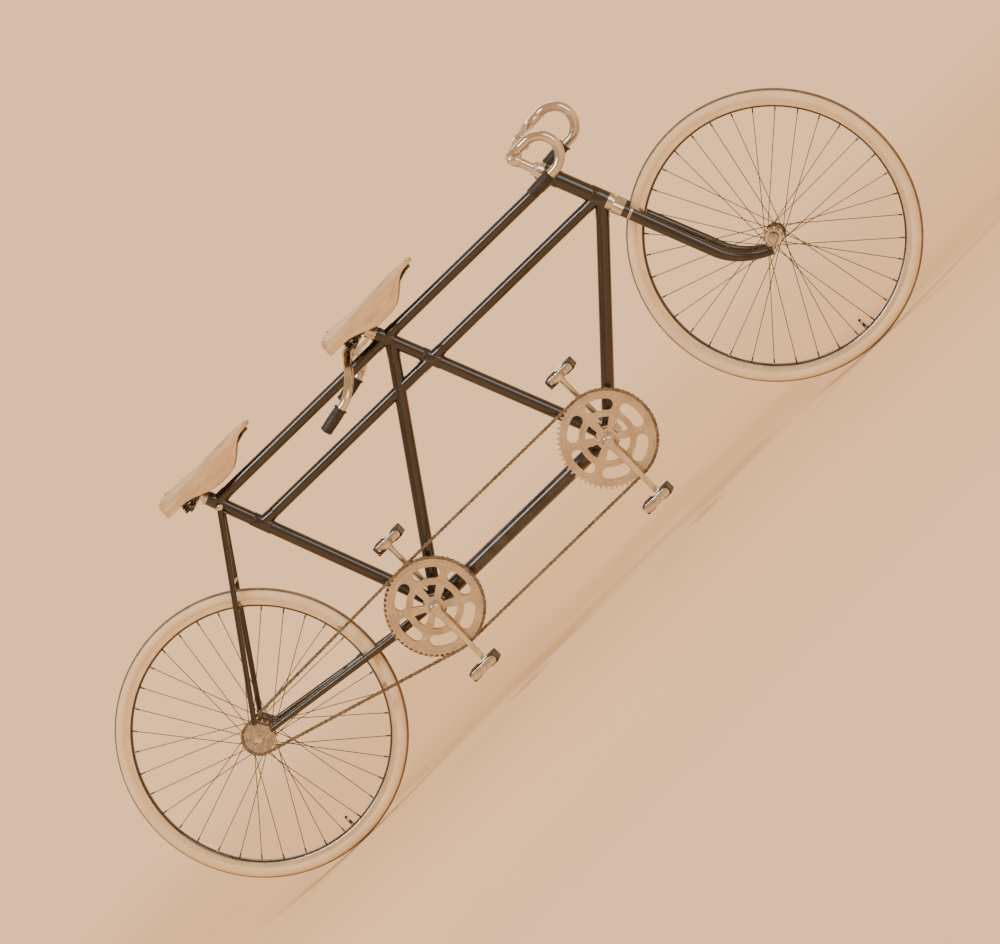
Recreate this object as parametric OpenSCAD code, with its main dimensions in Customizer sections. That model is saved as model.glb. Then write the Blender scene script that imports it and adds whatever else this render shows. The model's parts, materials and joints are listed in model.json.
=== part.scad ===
// Tandem bicycle for two riders: brazed steel frame, two cranksets joined by a timing chain,
// single-speed rear drive, drop bars in front and a swept bar behind the front rider.
// X points forward, Y to the left, Z up. The origin is on the ground midway between the axles.

/* [Wheels] */
// Bead seat diameter of both rims
rim_seat_d = 630; // [525:5:650]
// Height and width of the tyre section
tyre_section = 32; // [27:1:36]
// Distance between the two wheel axles
wheelbase = 1700; // [1650:5:2040]
// Spokes in each wheel
spoke_count = 36; // [28, 32, 36]

/* [Frame] */
// Drop of the bottom brackets below the wheel axles
bb_drop = 66; // [55:1:75]
// Height of the top tube above the wheel axles
top_tube_rise = 462; // [450:1:490]
// Height of the lateral tube above the wheel axles
lateral_rise = 352; // [345:1:370]
// Slope of the captain's seat tube in degrees
captain_seat_angle = 68; // [66:0.5:71]
// Slope of the stoker's seat tube in degrees
stoker_seat_angle = 69; // [67:0.5:72]
// Outer diameter of the top and lateral tubes
main_tube_d = 28.6; // [24:0.1:29.5]
// Outer diameter of the seat and down tubes
seat_tube_d = 31.8; // [30.5:0.1:35]
// Outer diameter of the boom tube between the bottom brackets
boom_tube_d = 38.1; // [32:0.1:45]

/* [Steering] */
// Slope of the steering axis in degrees
head_angle = 68; // [66:0.5:71]
// Forward offset of the front axle from the steering axis
fork_rake = 83; // [70:1:90]
// Overall width of the front handlebar, between tube centres
front_bar_w = 420; // [350:5:504]
// Overall width of the stoker's handlebar, between grip centres
stoker_bar_w = 400; // [333:1:480]

/* [Drivetrain] */
// Teeth on each of the three chainrings
ring_teeth = 58; // [52:2:58]
// Teeth on the rear sprocket
cog_teeth = 20; // [18:1:22]
// Chain pitches between the two bottom brackets
bb_pitches = 45; // [44:1:48]
// Approximate distance from the stoker's bottom bracket to the rear axle
rear_centre = 521; // [505:1:600]
// Distance from crank axle to pedal spindle
crank_length = 175; // [145:0.5:180]

/* [Saddles] */
// Length of each saddle
saddle_l = 292; // [245:1:300]
// Width of each saddle at the back
saddle_w = 205; // [175:1:246]
// Height of the captain's saddle above the top tube
captain_saddle_rise = 102; // [96:1:125]
// Height of the stoker's saddle above the top tube
stoker_saddle_rise = 95; // [92:1:125]

/* [Hidden] */
$fn = 48;
fine = 0.02;             // Play left between a rolling ball and its races
eps = 0.5;               // Overshoot of a cutting shape

// Chain and sprockets
pitch = 12.7;
roller_d = 7.75;
ring_r = pitch / (2 * sin(180 / ring_teeth));
cog_r = pitch / (2 * sin(180 / cog_teeth));
chain_half_h = 4.2;
chain_gap = 3.5;         // Between the two rows of side plates
plate_t = 2.2;           // One inner and one outer side plate together
sprocket_t = 3;
timing_y = -44;
drive_y = -54;

// Pitches taken by the tangent runs and wraps of the drive chain for a centre distance c
function tangent_angle(c) = asin((ring_r - cog_r) / c);
function straight_run(c) = sqrt(c * c - (ring_r - cog_r) * (ring_r - cog_r)) / pitch;
function ring_wrap(c) = (180 + 2 * tangent_angle(c)) * ring_teeth / 360;
function cog_wrap(c) = (180 - 2 * tangent_angle(c)) * cog_teeth / 360;
function loop_links(c) = 2 * straight_run(c) + ring_wrap(c) + cog_wrap(c);
// The centre distance that closes the loop on a whole even number of links
function closed_distance(c, links, steps) =
    steps == 0 ? c : closed_distance(c + (links - loop_links(c)) * pitch / 2, links, steps - 1);
drive_links = 2 * round(loop_links(rear_centre) / 2);
drive_distance = closed_distance(rear_centre, drive_links, 8);
drive_tangent = tangent_angle(drive_distance);
timing_links = 2 * bb_pitches + ring_teeth;

// Main points of the frame
axle_z = rim_seat_d / 2 + tyre_section;
bb_z = axle_z - bb_drop;
rear_axle_x = -wheelbase / 2;
rear_point = [rear_axle_x, 0, axle_z];
front_point = [wheelbase / 2, 0, axle_z];
stoker_bb = [rear_axle_x + sqrt(drive_distance * drive_distance - bb_drop * bb_drop), 0, bb_z];
captain_bb = stoker_bb + [bb_pitches * pitch, 0, 0];
top_z = axle_z + top_tube_rise;
lateral_z = axle_z + lateral_rise;
seat_top_z = top_z + main_tube_d / 2 + 14;
function on_captain_seat(z) = captain_bb + (z - bb_z) * [-1 / tan(captain_seat_angle), 0, 1];
function on_stoker_seat(z) = stoker_bb + (z - bb_z) * [-1 / tan(stoker_seat_angle), 0, 1];

// Steering axis: its own frame has +Z up the steerer, +X forward and its origin nearest the axle
steer_tilt = 90 - head_angle;
steer_up = [-cos(head_angle), 0, sin(head_angle)];
steer_out = [sin(head_angle), 0, cos(head_angle)];
steer_foot = front_point - fork_rake * steer_out;
function on_steer(s) = steer_foot + s * steer_up;
crown_gap = 10;          // Between the tyre and the underside of the crown
crown_h = 30;
crown_s = sqrt((axle_z + crown_gap) * (axle_z + crown_gap) - fork_rake * fork_rake);
crown_top_s = crown_s + crown_h;
headset_h = 12;
head_low_s = crown_top_s + headset_h;
head_top_s = (top_z - steer_foot[2] + main_tube_d / 2 + 6) / sin(head_angle);
steerer_top_s = head_top_s + 26;

// Sections
wall = 1.1;
head_r = 20;
head_bore_r = 16.5;
cup_r = 22;
steerer_r = 12.7;
quill_r = 11.1;
quill_play = 0.05;
play = 0.05;             // Thread and seat play between the solids of one node
diagonal_r = main_tube_d / 2 + 0.7;
stay_r = 9.5;
chain_stay_tip_r = 7;
seat_stay_r = 7.5;
seat_stay_tip_r = 6.5;
shell_r = 28.5;
shell_bore_r = 25.65;
shell_half_w = 34;
post_r = 13.6;
post_play = 0.05;
rear_half_space = 65;
front_half_space = 50;
dropout_t = 6;
fork_end_t = 5;
front_axle_r = 4.6;
rear_axle_r = 5;

// Bearings
head_ball_r = 2;
head_ball_ring = 17;
hub_ball_r = 2.38;
hub_ball_ring = 9.8;
bb_ball_r = 3.17;
bb_ball_ring = 19.9;
bb_ball_y = 29;

// Cranks and pedals
crank_r = 11;
arm_y = 62;              // Inner face of each crank arm
arm_t = 13;
pedal_bore_r = 7.1;
pedal_len = 78;
pedal_half_l = 40;
pedal_h = 25;

// Handlebars
bar_r = 11.9;
bar_wall = 1.6;
grip_r = 15;
stem_s = steerer_top_s + 48;
stem_reach = 46;
stem_rise = 16;
hook_r = 47;
bend_r = 45;

function unit(v) = v / norm(v);
function mix(a, b, t) = a + (b - a) * t;
function bezier2(a, b, c, t) = mix(mix(a, b, t), mix(b, c, t), t);
function bezier3(a, b, c, d, t) = mix(bezier2(a, b, c, t), bezier2(b, c, d, t), t);
function smooth(t) = let (u = max(0, min(1, t))) u * u * (3 - 2 * u);

// ---------- General shapes ----------

// Places its children with their Z axis running from p to q
module along(p, q) {
    d = q - p;
    translate(p) rotate([0, acos(d[2] / norm(d)), atan2(d[1], d[0])]) children();
}

module rod(p, q, r) {
    along(p, q) cylinder(h = norm(q - p), r = r);
}

module pipe(p, q, r, t) {
    along(p, q) difference() {
        cylinder(h = norm(q - p), r = r);
        translate([0, 0, -eps]) cylinder(h = norm(q - p) + 2 * eps, r = r - t);
    }
}

// A ring or disc about the Y axis, from y0 to y1
module y_disc(y0, y1, r, bore = 0) {
    translate([0, max(y0, y1), 0]) rotate([90, 0, 0]) difference() {
        cylinder(h = abs(y1 - y0), r = r);
        if (bore > 0) translate([0, 0, -eps]) cylinder(h = abs(y1 - y0) + 2 * eps, r = bore);
    }
}

module y_hex(y0, y1, flats, bore) {
    translate([0, max(y0, y1), 0]) rotate([90, 0, 0]) difference() {
        cylinder(h = abs(y1 - y0), r = flats / sqrt(3), $fn = 6);
        translate([0, 0, -eps]) cylinder(h = abs(y1 - y0) + 2 * eps, r = bore, $fn = 48);
    }
}

// Extrudes an outline drawn in the X-Z plane from y0 to y1
module y_plate(y0, y1) {
    translate([0, max(y0, y1), 0]) rotate([90, 0, 0]) linear_extrude(abs(y1 - y0)) children();
}

module both_sides() {
    children();
    mirror([0, 1, 0]) children();
}

// A tube of oval section swept through points: a is the half width across ref, b along it
module sweep(path, a, b, ref, sides = 16) {
    n = len(path);
    function tangent(i) = unit(path[min(i + 1, n - 1)] - path[max(i - 1, 0)]);
    function ring(i) =
        let (t = tangent(i), u = unit(cross(ref, t)), v = cross(t, u))
        [for (k = [0:sides - 1]) path[i] + a[i] * cos(360 * k / sides) * u + b[i] * sin(360 * k / sides) * v];
    points = [for (i = [0:n - 1]) each ring(i)];
    skin = [for (i = [0:n - 2], k = [0:sides - 1])
        let (j = (k + 1) % sides)
        [i * sides + k, (i + 1) * sides + k, (i + 1) * sides + j, i * sides + j]];
    caps = [[for (k = [0:sides - 1]) k], [for (k = [0:sides - 1]) n * sides - 1 - k]];
    polyhedron(points, concat(skin, caps));
}

module in_steering() {
    translate(steer_foot) rotate([0, -steer_tilt, 0]) children();
}

// ---------- Frame tubes ----------

module head_tube_solid() {
    rod(on_steer(head_low_s), on_steer(head_top_s), head_r);
}

module shell_solid(bb) {
    translate(bb) y_disc(-shell_half_w, shell_half_w, shell_r);
}

module captain_seat_solid() {
    rod(captain_bb, on_captain_seat(seat_top_z), seat_tube_d / 2);
}

module stoker_seat_solid() {
    rod(stoker_bb, on_stoker_seat(seat_top_z), seat_tube_d / 2);
}

module top_tube_solid() {
    rod([on_stoker_seat(top_z)[0], 0, top_z], [on_steer(head_top_s)[0], 0, top_z], main_tube_d / 2);
}

module lateral_solid() {
    rod([on_stoker_seat(lateral_z)[0], 0, lateral_z],
        [on_steer(head_low_s)[0], 0, lateral_z], main_tube_d / 2);
}

diagonal_top = on_captain_seat(top_z - 14);

module boom_solid() {
    rod(stoker_bb, captain_bb, boom_tube_d / 2);
}

module diagonal_solid() {
    rod(stoker_bb, diagonal_top, diagonal_r);
}

module head_tube() {
    color("#151517") pipe(on_steer(head_low_s), on_steer(head_top_s), head_r, head_r - head_bore_r);
}

module top_tube() {
    color("#151517") difference() {
        pipe([on_stoker_seat(top_z)[0], 0, top_z],
             [steer_foot[0] - (top_z - steer_foot[2]) / tan(head_angle), 0, top_z], main_tube_d / 2, wall);
        head_tube_solid();
        rod(on_steer(head_top_s - 0.7), on_steer(head_top_s + 12), cup_r + 0.5);
        captain_seat_solid();
        stoker_seat_solid();
    }
}

module lateral_tube() {
    color("#151517") difference() {
        pipe([on_stoker_seat(lateral_z)[0], 0, lateral_z],
             [steer_foot[0] - (lateral_z - steer_foot[2]) / tan(head_angle), 0, lateral_z],
             main_tube_d / 2, wall);
        head_tube_solid();
        captain_seat_solid();
        stoker_seat_solid();
        diagonal_solid();
    }
}

module down_tube() {
    color("#151517") difference() {
        pipe(captain_bb, on_steer(head_low_s + 13), seat_tube_d / 2, wall);
        head_tube_solid();
        rod(on_steer(crown_s), on_steer(head_low_s + 1.5), cup_r + 0.5);
        shell_solid(captain_bb);
        captain_seat_solid();
        lateral_solid();
    }
}

// The seat tube's upper end is thicker inside, where it grips the seat post
module seat_tube(bb, top) {
    sleeve = 80;
    d = unit(top - bb);
    difference() {
        rod(bb, top, seat_tube_d / 2);
        rod(bb - d, top - sleeve * d, seat_tube_d / 2 - wall);
        rod(top - (sleeve + 1) * d, top + d, post_r + post_play);
        shell_solid(bb);
    }
}

module captain_seat_tube() {
    color("#151517") seat_tube(captain_bb, on_captain_seat(seat_top_z));
}

module stoker_seat_tube() {
    color("#151517") seat_tube(stoker_bb, on_stoker_seat(seat_top_z));
}

module mid_diagonal() {
    color("#151517") difference() {
        pipe(stoker_bb, diagonal_top, diagonal_r, wall);
        shell_solid(stoker_bb);
        stoker_seat_solid();
        boom_solid();
        captain_seat_solid();
        top_tube_solid();
    }
}

module boom_tube() {
    color("#151517") difference() {
        pipe(stoker_bb, captain_bb, boom_tube_d / 2, wall);
        shell_solid(stoker_bb);
        shell_solid(captain_bb);
        stoker_seat_solid();
        captain_seat_solid();
    }
}

module bb_shell(bb) {
    translate(bb) y_disc(-shell_half_w, shell_half_w, shell_r, shell_bore_r);
}

module captain_bb_shell() {
    color("#151517") bb_shell(captain_bb);
}

module stoker_bb_shell() {
    color("#151517") bb_shell(stoker_bb);
}

// ---------- Rear triangle ----------

stay_end_y = rear_half_space + dropout_t / 2;
chain_stay_end = [rear_axle_x + 34, stay_end_y, axle_z - 5];
bend_bulge = 0.3;        // A bend's ball stands this far proud of its tubes
chain_stay_start = [stoker_bb[0], 22, bb_z + 3];
chain_stay_bend = [stoker_bb[0] - ring_r - 12, 24, mix(bb_z, axle_z, 0.2)];
seat_stay_end = [rear_axle_x + 16, stay_end_y, axle_z + 30];
seat_stay_start = on_stoker_seat(top_z - 12) + [-4, seat_tube_d / 2 + 4, 0];

// A tapered tube whose lower end is plugged to take the dropout
module tapered_stay(start, end, r0, r1) {
    plug = 20;
    along(start, end) difference() {
        cylinder(h = norm(end - start), r1 = r0, r2 = r1);
        translate([0, 0, plug]) cylinder(h = norm(end - start) - 2 * plug, r1 = r0 - wall, r2 = r1 - wall);
    }
}

module chain_stay() {
    difference() {
        union() {
            rod(chain_stay_start, chain_stay_bend, stay_r);
            translate(chain_stay_bend) sphere(r = stay_r + bend_bulge);
            along(chain_stay_bend, chain_stay_end)
                cylinder(h = norm(chain_stay_end - chain_stay_bend), r1 = stay_r, r2 = chain_stay_tip_r);
        }
        rod(mix(chain_stay_bend, chain_stay_end, 0.06), mix(chain_stay_bend, chain_stay_end, 0.94),
            chain_stay_tip_r - wall);
        shell_solid(stoker_bb);
        stoker_seat_solid();
        dropout_solid();
    }
}

chain_bridge_x = chain_stay_bend[0] + 30;
bridge_clear = 20;       // From the tyre to the middle of the seat-stay bridge
function flat(v) = [v[0], 0, v[2]];
seat_bridge_t = (axle_z + bridge_clear - norm(flat(seat_stay_end - rear_point)))
    / norm(flat(seat_stay_start - seat_stay_end));
seat_bridge = mix(seat_stay_end, seat_stay_start, seat_bridge_t);
seat_stay_slope = atan2(seat_stay_start[0] - seat_stay_end[0], seat_stay_start[2] - seat_stay_end[2]);

// Both chain stays with the bridge between them
module chain_stays() {
    color("#151517") {
        both_sides() chain_stay();
        difference() {
            translate([chain_bridge_x, 0, chain_stay_bend[2] - 5]) y_disc(-24, 24, 5);
            both_sides() rod(chain_stay_start, chain_stay_bend, stay_r - wall / 2);
        }
    }
}

// Both seat stays with the drilled bridge that carries a brake or mudguard
module seat_stays() {
    color("#151517") {
        both_sides() difference() {
            union() {
                tapered_stay(seat_stay_end, seat_stay_start, seat_stay_tip_r, seat_stay_r);
                translate(seat_stay_start) y_disc(-6, 5, seat_stay_r + 1);
            }
            stoker_seat_solid();
            dropout_solid();
        }
        difference() {
            translate([seat_bridge[0], 0, seat_bridge[2]]) y_disc(-seat_bridge[1], seat_bridge[1], 6.5);
            both_sides() along(seat_stay_end, seat_stay_start)
                cylinder(h = norm(seat_stay_start - seat_stay_end),
                         r1 = seat_stay_tip_r - wall / 2, r2 = seat_stay_r - wall / 2);
            translate([seat_bridge[0], 0, seat_bridge[2]]) rotate([0, seat_stay_slope + 90, 0])
                cylinder(h = 20, r = 3, center = true);
        }
    }
}

module dropout_outline() {
    difference() {
        union() {
            circle(r = 17);
            polygon([[-3, 17], [10, 34], [22, 30], [38, 2], [38, -12], [2, -17]]);
            translate([-22, -9]) square([24, 19]);
        }
        // Slot that opens backwards for the axle
        circle(r = rear_axle_r + 0.1);
        translate([-30, -rear_axle_r - 0.1]) square([30, 2 * rear_axle_r + 0.2]);
    }
}

module dropout_solid() {
    translate(rear_point) y_plate(rear_half_space, rear_half_space + dropout_t) dropout_outline();
}

module rear_dropouts() {
    color("#9a9c9e") both_sides() dropout_solid();
}

module axle_hardware(half_space, end_t, axle_r, cone_r, flats, tip) {
    y_disc(-half_space - end_t - tip, half_space + end_t + tip, axle_r);
    both_sides() {
        y_disc(half_space - 15, half_space - 6, cone_r, axle_r + play);
        y_hex(half_space - 6 + play, half_space, flats, axle_r + play);
        y_disc(half_space + end_t, half_space + end_t + 1.5, flats * 0.62, axle_r + play);
        y_hex(half_space + end_t + 1.5 + play, half_space + end_t + 10, flats, axle_r + play);
    }
}

// Axle, cones, locknuts, washers and nuts, each a solid of its own
module rear_axle() {
    color("#b9bbbd") translate(rear_point)
        axle_hardware(rear_half_space, dropout_t, rear_axle_r, hub_ball_ring - hub_ball_r - fine, 15, 16);
}

// ---------- Bearings carried by the frame ----------

module ball_ring(n, ring_radius, r) {
    for (k = [0:n - 1]) rotate([0, 0, 360 * k / n]) translate([ring_radius, 0, 0]) sphere(r = r);
}

module y_ball_ring(y, n, ring_radius, r) {
    translate([0, y, 0]) rotate([90, 0, 0]) ball_ring(n, ring_radius, r);
}

module headset_cup() {
    cylinder(h = 12, r = head_bore_r - play);
    translate([0, 0, -4]) cylinder(h = 4, r = cup_r);
    translate([0, 0, -9.5]) difference() {
        cylinder(h = 6, r = cup_r);
        translate([0, 0, -eps]) cylinder(h = 6.01 + eps, r = 20.4);
    }
}

module bored_cup() {
    difference() {
        headset_cup();
        translate([0, 0, -15]) cylinder(h = 40, r = 14);
    }
}

module headset_cups() {
    color("#c9cbcd") in_steering() {
        translate([0, 0, head_low_s]) bored_cup();
        translate([0, 0, head_top_s]) mirror([0, 0, 1]) bored_cup();
    }
}

module bb_cup() {
    difference() {
        union() {
            y_disc(24, shell_half_w, shell_bore_r - play);
            y_disc(shell_half_w, shell_half_w + 2.5, shell_r);
        }
        y_disc(25.6, 40, bb_ball_ring + bb_ball_r + 2 * fine);
        y_disc(20, 30, 17.5);
    }
}

module bb_cups() {
    color("#c9cbcd") for (bb = [stoker_bb, captain_bb]) translate(bb) both_sides() bb_cup();
}

module bearing_balls() {
    color("#e2e4e6") {
        in_steering() {
            translate([0, 0, head_low_s - 4 - head_ball_r - fine]) ball_ring(20, head_ball_ring, head_ball_r);
            translate([0, 0, head_top_s + 4 + head_ball_r + fine]) ball_ring(20, head_ball_ring, head_ball_r);
        }
        for (bb = [stoker_bb, captain_bb])
            translate(bb) both_sides() y_ball_ring(bb_ball_y, 11, bb_ball_ring, bb_ball_r);
        translate(rear_point) both_sides() y_ball_ring(rear_half_space - 12, 9, hub_ball_ring, hub_ball_r);
    }
}

// Bolts that pinch the tops of the seat tubes on their posts
module seat_binder(top, angle) {
    bore = seat_tube_d / 2 + play;
    translate(top) rotate([0, angle - 90, 0]) rotate([0, 0, 180]) translate([0, 0, -7.5]) {
        difference() {
            cylinder(h = 7, r = bore + 2.5);
            translate([0, 0, -eps]) cylinder(h = 10, r = bore);
            translate([-30, -1.5, -eps]) cube([30, 3, 10]);
        }
        difference() {
            both_sides() translate([-bore - 12, 1.5, 0]) cube([11, 4.5, 7]);
            translate([0, 0, -eps]) cylinder(h = 10, r = bore);
            translate([-bore - 8, 0, 3.5]) y_disc(-20, 20, 2.6);
        }
        translate([-bore - 8, 0, 3.5]) {
            y_disc(-10, 10, 2.5);
            y_hex(-6 - play, -9, 6, 2.5 + play);
            y_disc(6 + play, 9.5, 3.4);
        }
    }
}

module seat_binders() {
    color("#c9cbcd") {
        seat_binder(on_captain_seat(seat_top_z), captain_seat_angle);
        seat_binder(on_stoker_seat(seat_top_z), stoker_seat_angle);
    }
}

// ---------- Chains ----------

// Outline of the drive chain's loop grown by d, with the ring at the origin and the cog behind it
module drive_outline(d) {
    c = sin(drive_tangent);
    s = cos(drive_tangent);
    circle(r = ring_r + d);
    translate([-drive_distance, 0]) circle(r = cog_r + d);
    polygon([
        [-c * (ring_r + d), s * (ring_r + d)],
        [-drive_distance - c * (cog_r + d), s * (cog_r + d)],
        [-drive_distance - c * (cog_r + d), -s * (cog_r + d)],
        [-c * (ring_r + d), -s * (ring_r + d)]
    ]);
}

module timing_outline(d) {
    circle(r = ring_r + d);
    translate([bb_pitches * pitch, 0]) circle(r = ring_r + d);
    translate([0, -ring_r - d]) square([bb_pitches * pitch, 2 * (ring_r + d)]);
}

// The centre of roller u along the timing loop, counted from above the stoker's axle
function timing_roller(u) =
    let (wrap = ring_teeth / 2, step = 360 / ring_teeth, run = bb_pitches)
    u < run ? [u * pitch, ring_r]
    : u < run + wrap ? [run * pitch, 0] + ring_r * [sin((u - run) * step), cos((u - run) * step)]
    : u < 2 * run + wrap ? [(2 * run + wrap - u) * pitch, -ring_r]
    : ring_r * [-sin((u - 2 * run - wrap) * step), -cos((u - 2 * run - wrap) * step)];

// The centre of roller u along the drive loop, counted from where the top run meets the ring
function drive_roller(u) =
    let (t = drive_tangent, w = ring_wrap(drive_distance), run = straight_run(drive_distance),
         v = cog_wrap(drive_distance), ring_step = 360 / ring_teeth, cog_step = 360 / cog_teeth,
         c = sin(t), s = cos(t), cog = [-drive_distance, 0])
    u < w ? let (a = 90 + t - u * ring_step) ring_r * [cos(a), sin(a)]
    : u < w + run ? ring_r * [-c, -s] + (u - w) * pitch * [-s, c]
    : u < w + run + v ? let (a = -90 - t - (u - w - run) * cog_step) cog + cog_r * [cos(a), sin(a)]
    : cog + cog_r * [-c, s] + (u - w - run - v) * pitch * [s, c];

drive_slope = -atan2(bb_drop, stoker_bb[0] - rear_axle_x);

module timing_chain() {
    color("#5b5651") translate(stoker_bb) {
        for (side = [-1, 1])
            y_plate(timing_y + side * chain_gap / 2, timing_y + side * (chain_gap / 2 + plate_t)) difference() {
                timing_outline(chain_half_h);
                timing_outline(-chain_half_h);
            }
        for (u = [0:timing_links - 1])
            y_plate(timing_y - chain_gap / 2, timing_y + chain_gap / 2)
                translate(timing_roller(u)) circle(d = roller_d);
    }
}

module drive_chain() {
    color("#5b5651") translate(stoker_bb) rotate([0, -drive_slope, 0]) {
        for (side = [-1, 1])
            y_plate(drive_y + side * chain_gap / 2, drive_y + side * (chain_gap / 2 + plate_t)) difference() {
                drive_outline(chain_half_h);
                drive_outline(-chain_half_h);
            }
        for (u = [0:drive_links - 1])
            y_plate(drive_y - chain_gap / 2, drive_y + chain_gap / 2)
                translate(drive_roller(u)) circle(d = roller_d);
    }
}

// ---------- Fork and headset ----------

blade_top_y = 34;
blade_tip = [57, front_half_space + 2.5, -12];
blade_straight_s = 110;
function blade_y(s) = mix(blade_top_y, blade_tip[1], smooth((crown_s - s) / crown_s));
blade_path = concat(
    [for (k = [0:6]) let (s = mix(crown_s - 0.2, blade_straight_s, k / 6)) [0, blade_y(s), s]],
    [for (k = [1:10])
        let (p = bezier2([0, blade_straight_s], [0, 46], [blade_tip[0], blade_tip[2]], k / 10))
        [p[0], blade_y(p[1]), p[1]]]);

module fork_blades() {
    n = len(blade_path) - 1;
    color("#151517") in_steering() both_sides()
        sweep(blade_path, [for (i = [0:n]) mix(14.5, 8, smooth(i / n))],
              [for (i = [0:n]) mix(10, 6.5, smooth(i / n))], [0, 1, 0]);
}

module fork_crown() {
    color("#c9cbcd") in_steering() difference() {
        union() {
            translate([0, 0, crown_s]) cylinder(h = crown_h, r = 18);
            both_sides() translate([0, blade_top_y, crown_s]) cylinder(h = crown_h - 4, r = 15.5);
            translate([-12, -blade_top_y, crown_s]) cube([24, 2 * blade_top_y, crown_h - 4]);
            translate([0, 0, crown_top_s]) cylinder(h = steerer_top_s - crown_top_s, r = steerer_r);
        }
        translate([0, 0, crown_top_s + 20]) cylinder(h = steerer_top_s, r = quill_r + quill_play);
        translate([0, 0, crown_s + crown_h / 2]) rotate([0, 90, 0]) cylinder(h = 80, r = 3, center = true);
    }
}

tip_dir = unit([blade_tip[0], blade_tip[2] - 46]);
tip_side = [-tip_dir[1], tip_dir[0]];

module fork_ends() {
    tip = [blade_tip[0], blade_tip[2]] + 0.5 * tip_dir;
    color("#9a9c9e") in_steering() both_sides() y_plate(front_half_space, front_half_space + fork_end_t)
        difference() {
            union() {
                translate([fork_rake, 0]) circle(r = 13);
                polygon([tip + 8 * tip_side, tip - 8 * tip_side,
                         [fork_rake, 0] - 11 * tip_side, [fork_rake, 0] + 11 * tip_side]);
            }
            translate([fork_rake, 0]) circle(r = front_axle_r + 0.1);
            translate([fork_rake - front_axle_r - 0.1, -20]) square([2 * front_axle_r + 0.2, 20]);
        }
}

// Crown race, adjustable top race and lock nut on the steerer
module headset_races() {
    color("#c9cbcd") in_steering() difference() {
        union() {
            translate([0, 0, crown_top_s]) cylinder(h = headset_h - 4 - 2 * (head_ball_r + fine), r = 20);
            translate([0, 0, head_top_s + 4 + 2 * (head_ball_r + fine)]) cylinder(h = 6, r = 20);
            translate([0, 0, head_top_s + 15]) cylinder(h = 10, r = 17.5, $fn = 8);
        }
        cylinder(h = steerer_top_s + 20, r = steerer_r + play);
    }
}

// Front axle with its cones, locknuts, washers, nuts and balls
module front_axle() {
    color("#b9bbbd") translate(front_point) {
        axle_hardware(front_half_space, fork_end_t, front_axle_r, hub_ball_ring - hub_ball_r - fine, 14, 14);
        both_sides() y_ball_ring(front_half_space - 12, 9, hub_ball_ring, hub_ball_r);
    }
}

// ---------- Stem and bars ----------

bar_centre = [stem_reach, stem_s + 4];

module stem() {
    quill_low = head_top_s - 70;
    color("#c9cbcd") in_steering() difference() {
        union() {
            translate([0, 0, quill_low]) cylinder(h = stem_s - quill_low, r = quill_r);
            translate([0, 0, stem_s - 14]) cylinder(h = 26, r = 14);
            y_plate(-9, 9) polygon([[0, stem_s - 10], [stem_reach, bar_centre[1] - 12],
                                    [stem_reach, bar_centre[1] + 12], [0, stem_s + 10]]);
            translate([bar_centre[0], 0, bar_centre[1]]) y_disc(-20, 20, bar_r + 4.5);
        }
        translate([0, 0, quill_low - eps]) cylinder(h = stem_s + 60 - quill_low, r = 4.2);
        translate([bar_centre[0], 0, bar_centre[1]]) y_disc(-30, 30, bar_r + 0.05);
        translate([bar_centre[0] - 2, -30, bar_centre[1] - 30]) cube([1.5, 60, 30]);
    }
}

module stem_bolts() {
    quill_low = head_top_s - 70;
    color("#c9cbcd") in_steering() {
        translate([0, 0, quill_low - 24]) cylinder(h = stem_s + 36 - quill_low, r = 4);
        translate([0, 0, stem_s + 12]) cylinder(h = 7, r = 8, $fn = 6);
        translate([0, 0, quill_low - 24]) difference() {
            cylinder(h = 23.5, r = quill_r);
            translate([0, 0, -eps]) cylinder(h = 30, r = 4 + play);
        }
    }
}

// A length of handlebar tube along +Z
module bar_straight(h) {
    difference() {
        cylinder(h = h, r = bar_r);
        translate([0, 0, -eps]) cylinder(h = h + 2 * eps, r = bar_r - bar_wall);
    }
}

// A bend of handlebar tube about the Z axis, from the +X axis through angle
module bar_bend(r, angle) {
    rotate_extrude(angle = angle) translate([r, 0]) difference() {
        circle(r = bar_r);
        circle(r = bar_r - bar_wall);
    }
}

top_run = front_bar_w / 2 - bend_r;
lower_run = 78;

// Places its children at the bar clamp with X level and Y to the left
module at_front_bar() {
    in_steering() translate([bar_centre[0], 0, bar_centre[1]]) rotate([0, steer_tilt - 3, 0]) children();
}

// Left side of the drop bar: top, forward bend, hook and lower straight
module drop_side() {
    rotate([-90, 0, 0]) bar_straight(top_run);
    translate([bend_r, top_run, 0]) rotate([0, 0, 90]) bar_bend(bend_r, 90);
    translate([bend_r, front_bar_w / 2, -hook_r]) rotate([90, 0, 0])
        rotate([0, 0, -90]) bar_bend(hook_r, 180);
    translate([bend_r, front_bar_w / 2, -2 * hook_r]) rotate([0, -90, 0]) bar_straight(lower_run);
}

module front_bar() {
    color("#c9cbcd") at_front_bar() both_sides() drop_side();
}

grip_l = 62;

module front_grip() {
    translate([bend_r - lower_run, front_bar_w / 2, -2 * hook_r]) rotate([0, -90, 0]) {
        difference() {
            translate([0, 0, -grip_l]) cylinder(h = grip_l, r = grip_r);
            translate([0, 0, -grip_l - eps]) cylinder(h = grip_l + 2 * eps, r = bar_r + play);
        }
        cylinder(h = 4, r = grip_r);
    }
}

module front_grip_left() {
    color("#1c1b1a") at_front_bar() front_grip();
}

module front_grip_right() {
    color("#1c1b1a") at_front_bar() mirror([0, 1, 0]) front_grip();
}

// ---------- Seat posts and saddles ----------

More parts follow.
